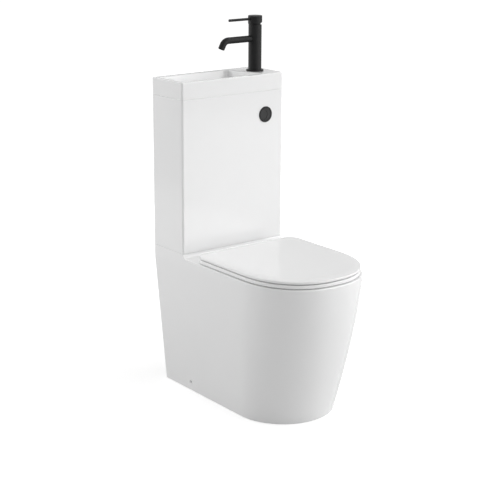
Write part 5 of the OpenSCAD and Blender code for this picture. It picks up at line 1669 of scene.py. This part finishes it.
@dataclass
class KeptPieces:
    """The fasteners, valves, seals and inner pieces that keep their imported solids."""

    finishes: tuple[tuple[Finish, tuple[str, ...]], ...] = (
        (STEEL, ("cistern_bolt_washers", "hinge_posts", "hinge_pins", "tap_clamp_washer")),
        (BRASS, ("cistern_wing_nuts", "cartridge_nut", "tap_clamp_nut", "waste_nut")),
        (RUBBER, ("coupling_seal", "cistern_bolt_seals", "seat_buffers", "lid_buffers", "hinge_sleeves", "tap_base_seal",
                  "waste_seals", "tank_washers", "flush_seal")),
        (WHITE_PLASTIC, ("floor_brackets", "hinge_wing_nuts", "cartridge", "fill_float")),
        (GREY_PLASTIC, ("seat_damper", "lid_damper", "cartridge_rotor", "waste_pipe", "fill_valve",
                        "fill_valve_nut", "flush_valve", "flush_valve_nut", "button_lock_nut")),
        (BLUE_PLASTIC, ("fill_lever", "flush_plunger")),
    )

    def make(self) -> None:
        """Dresses every kept node in its finish."""
        for finish, nodes in self.finishes:
            finish.dress(*nodes)
            LOG.info("%s: %d kept pieces", finish.name, len(nodes))


# ------------------------------------------------------------------ studio


@dataclass
class Softbox:
    """A large square lamp aimed at the middle of the object.

    Attributes:
        name: The lamp's name.
        towards: Direction from the object to the lamp.
        share: How brightly it lights a white surface that faces it, 1 being white.
        distance: Metres from the object.
        wide: Width in metres.
        high: Height in metres.
    """

    name: str
    towards: Point3
    share: float
    distance: float
    wide: float
    high: float

    def make(self, middle: Vector) -> None:
        """Places the lamp."""
        lamp = bpy.data.lights.new(self.name, "AREA")
        lamp.shape, lamp.size, lamp.size_y = "RECTANGLE", self.wide, self.high
        lamp.energy = self.share * math.pi ** 2 * self.distance ** 2
        made = linked(self.name, lamp)
        away = Vector(self.towards).normalized()
        made.location = middle + away * self.distance
        made.rotation_euler = away.to_track_quat("Z", "Y").to_euler()
        made.visible_camera = False


@dataclass
class Studio:
    """The floor, the lamps, the pale surroundings and the camera."""

    azimuth: float = -38.0
    pitch: float = 15.9
    roll: float = 0.36
    lens: float = 100.1
    position: Point3 = (-2.41259, -3.31479, 1.55074)
    middle: Point3 = (0.0, -0.25, 0.5)
    ambient: float = 0.36
    ambient_above: float = 0.33
    floor_wide: float = 30.0
    floor_high: float = -0.0005
    floor_albedo: float = 0.62
    glow_near: float = 0.58
    glow_far: float = 0.84
    upper_shade: float = 0.84
    level_shade: float = 0.78
    floor_mirrored: float = 0.40
    lamps: tuple[Softbox, ...] = (
        Softbox("lamp_right", (0.602, -0.771, 0.208), 0.61, 4.4, 6.5, 2.0),
        Softbox("lamp_right_high", (0.589, -0.569, 0.574), 0.12, 4.4, 5.5, 3.0),
        Softbox("lamp_left", (-0.572, 0.760, 0.309), 0.925, 2.9, 6.4, 1.6),
        Softbox("lamp_above", (0.560, -0.280, 0.780), 0.23, 4.4, 2.4, 2.0),
    )

    def camera(self) -> None:
        """Makes the camera at the photograph's place."""
        az, pitch, roll = (math.radians(v) for v in (self.azimuth, self.pitch, self.roll))
        ahead = Vector((-math.sin(az) * math.cos(pitch), math.cos(az) * math.cos(pitch), -math.sin(pitch)))
        right = ahead.cross(Vector((0, 0, 1))).normalized()
        up = right.cross(ahead)
        across = right * math.cos(roll) + up * math.sin(roll)
        over = up * math.cos(roll) - right * math.sin(roll)
        data = bpy.data.cameras.new("camera")
        data.lens, data.sensor_width = self.lens, 36.0
        made = linked("camera", data)
        made.matrix_world = Matrix((*zip(across, over, -ahead, self.position), (0, 0, 0, 1)))
        bpy.context.scene.camera = made

    def rays(self, graph: Graph) -> tuple[Field, Field]:
        """Returns whether a ray comes from the camera, and whether from a mirroring or clear surface."""
        path = graph.add("ShaderNodeLightPath").outputs
        kinds = ("Camera", "Glossy", "Transmission")
        camera, glossy, through = graph.fields(path[f"Is {kind} Ray"] for kind in kinds)
        return camera, glossy.run("MAXIMUM", glossy, through)

    def surroundings(self) -> None:
        """Makes the world: white where it is seen, a soft even light on the object."""
        world = bpy.data.worlds.new("surroundings")
        bpy.context.scene.world = world
        graph = Graph.of(world)
        height = graph.split(graph.add("ShaderNodeTexCoord").outputs["Generated"])[2]
        camera, mirrored = self.rays(graph)
        upper = ((height - 0.12) / 0.12).held()
        reflected = upper * (self.upper_shade - self.level_shade) + self.level_shade
        around = self.ambient - ((height - 0.2) / 0.6).held() * (self.ambient - self.ambient_above)
        strength = around.towards(reflected, mirrored).towards(camera * 0.0 + 1.0, camera)
        shader = graph.add("ShaderNodeBackground", {"Strength": strength, "Color": (1, 1, 1, 1)})
        graph.add("ShaderNodeOutputWorld", {"Surface": shader.outputs[0]})

    def floor(self) -> None:
        """Makes the plain pale floor, which keeps the object's soft shadow."""
        half, z = self.floor_wide, self.floor_high
        mesh = bpy.data.meshes.new("floor")
        corners = [(-half, -half, z), (half, -half, z), (half, half, z), (-half, half, z)]
        mesh.from_pydata(corners, [], [(0, 1, 2, 3)])
        material = bpy.data.materials.new("Pale floor")
        graph = Graph.of(material)
        x, y, _ = graph.split(graph.add("ShaderNodeTexCoord").outputs["Object"])
        away = x * x + (y + 0.3) * (y + 0.3)
        strength = ((away - 0.3) / 2.0).held() * (self.glow_far - self.glow_near) + self.glow_near
        camera, mirrored = self.rays(graph)
        seen = camera.run("MAXIMUM", camera, mirrored * self.floor_mirrored)
        matt = graph.add("ShaderNodeBsdfDiffuse", {"Color": (*[self.floor_albedo] * 3, 1)})
        glow = graph.add("ShaderNodeEmission", {"Strength": seen * strength})
        both = graph.add("ShaderNodeAddShader")
        for socket, shader in zip(both.inputs, (matt, glow)):
            feed(graph.tree, socket, shader.outputs[0])
        graph.add("ShaderNodeOutputMaterial", {"Surface": both.outputs[0]})
        mesh.materials.append(material)
        linked("floor", mesh)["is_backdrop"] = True

    def make(self) -> None:
        """Makes the camera, the surroundings, the floor and the lamps."""
        bpy.context.scene.view_settings.view_transform = "Standard"
        self.camera()
        self.surroundings()
        self.floor()
        for lamp in self.lamps:
            lamp.make(Vector(self.middle))


def plain(bounds: Sequence[Sequence[float]]) -> list[list[float]]:
    """Returns a box's two corners as plain lists."""
    return [[float(v) for v in corner] for corner in bounds]


def main() -> None:
    """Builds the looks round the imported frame, sub-assembly by sub-assembly."""
    logging.basicConfig(level=logging.INFO, format="%(name)s: %(message)s")
    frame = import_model()
    NODES.update(frame["nodes"])
    cad_box = plain(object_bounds())
    Studio().make()
    for assembly in (Pan(), Cistern(), Basin(), SeatAndLid(), Tap(), FlushButton(), Fittings(), KeptPieces()):
        assembly.make()
    {"cad": cad_box, "visual": plain(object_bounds())}


if __name__ == "__main__":
    main()
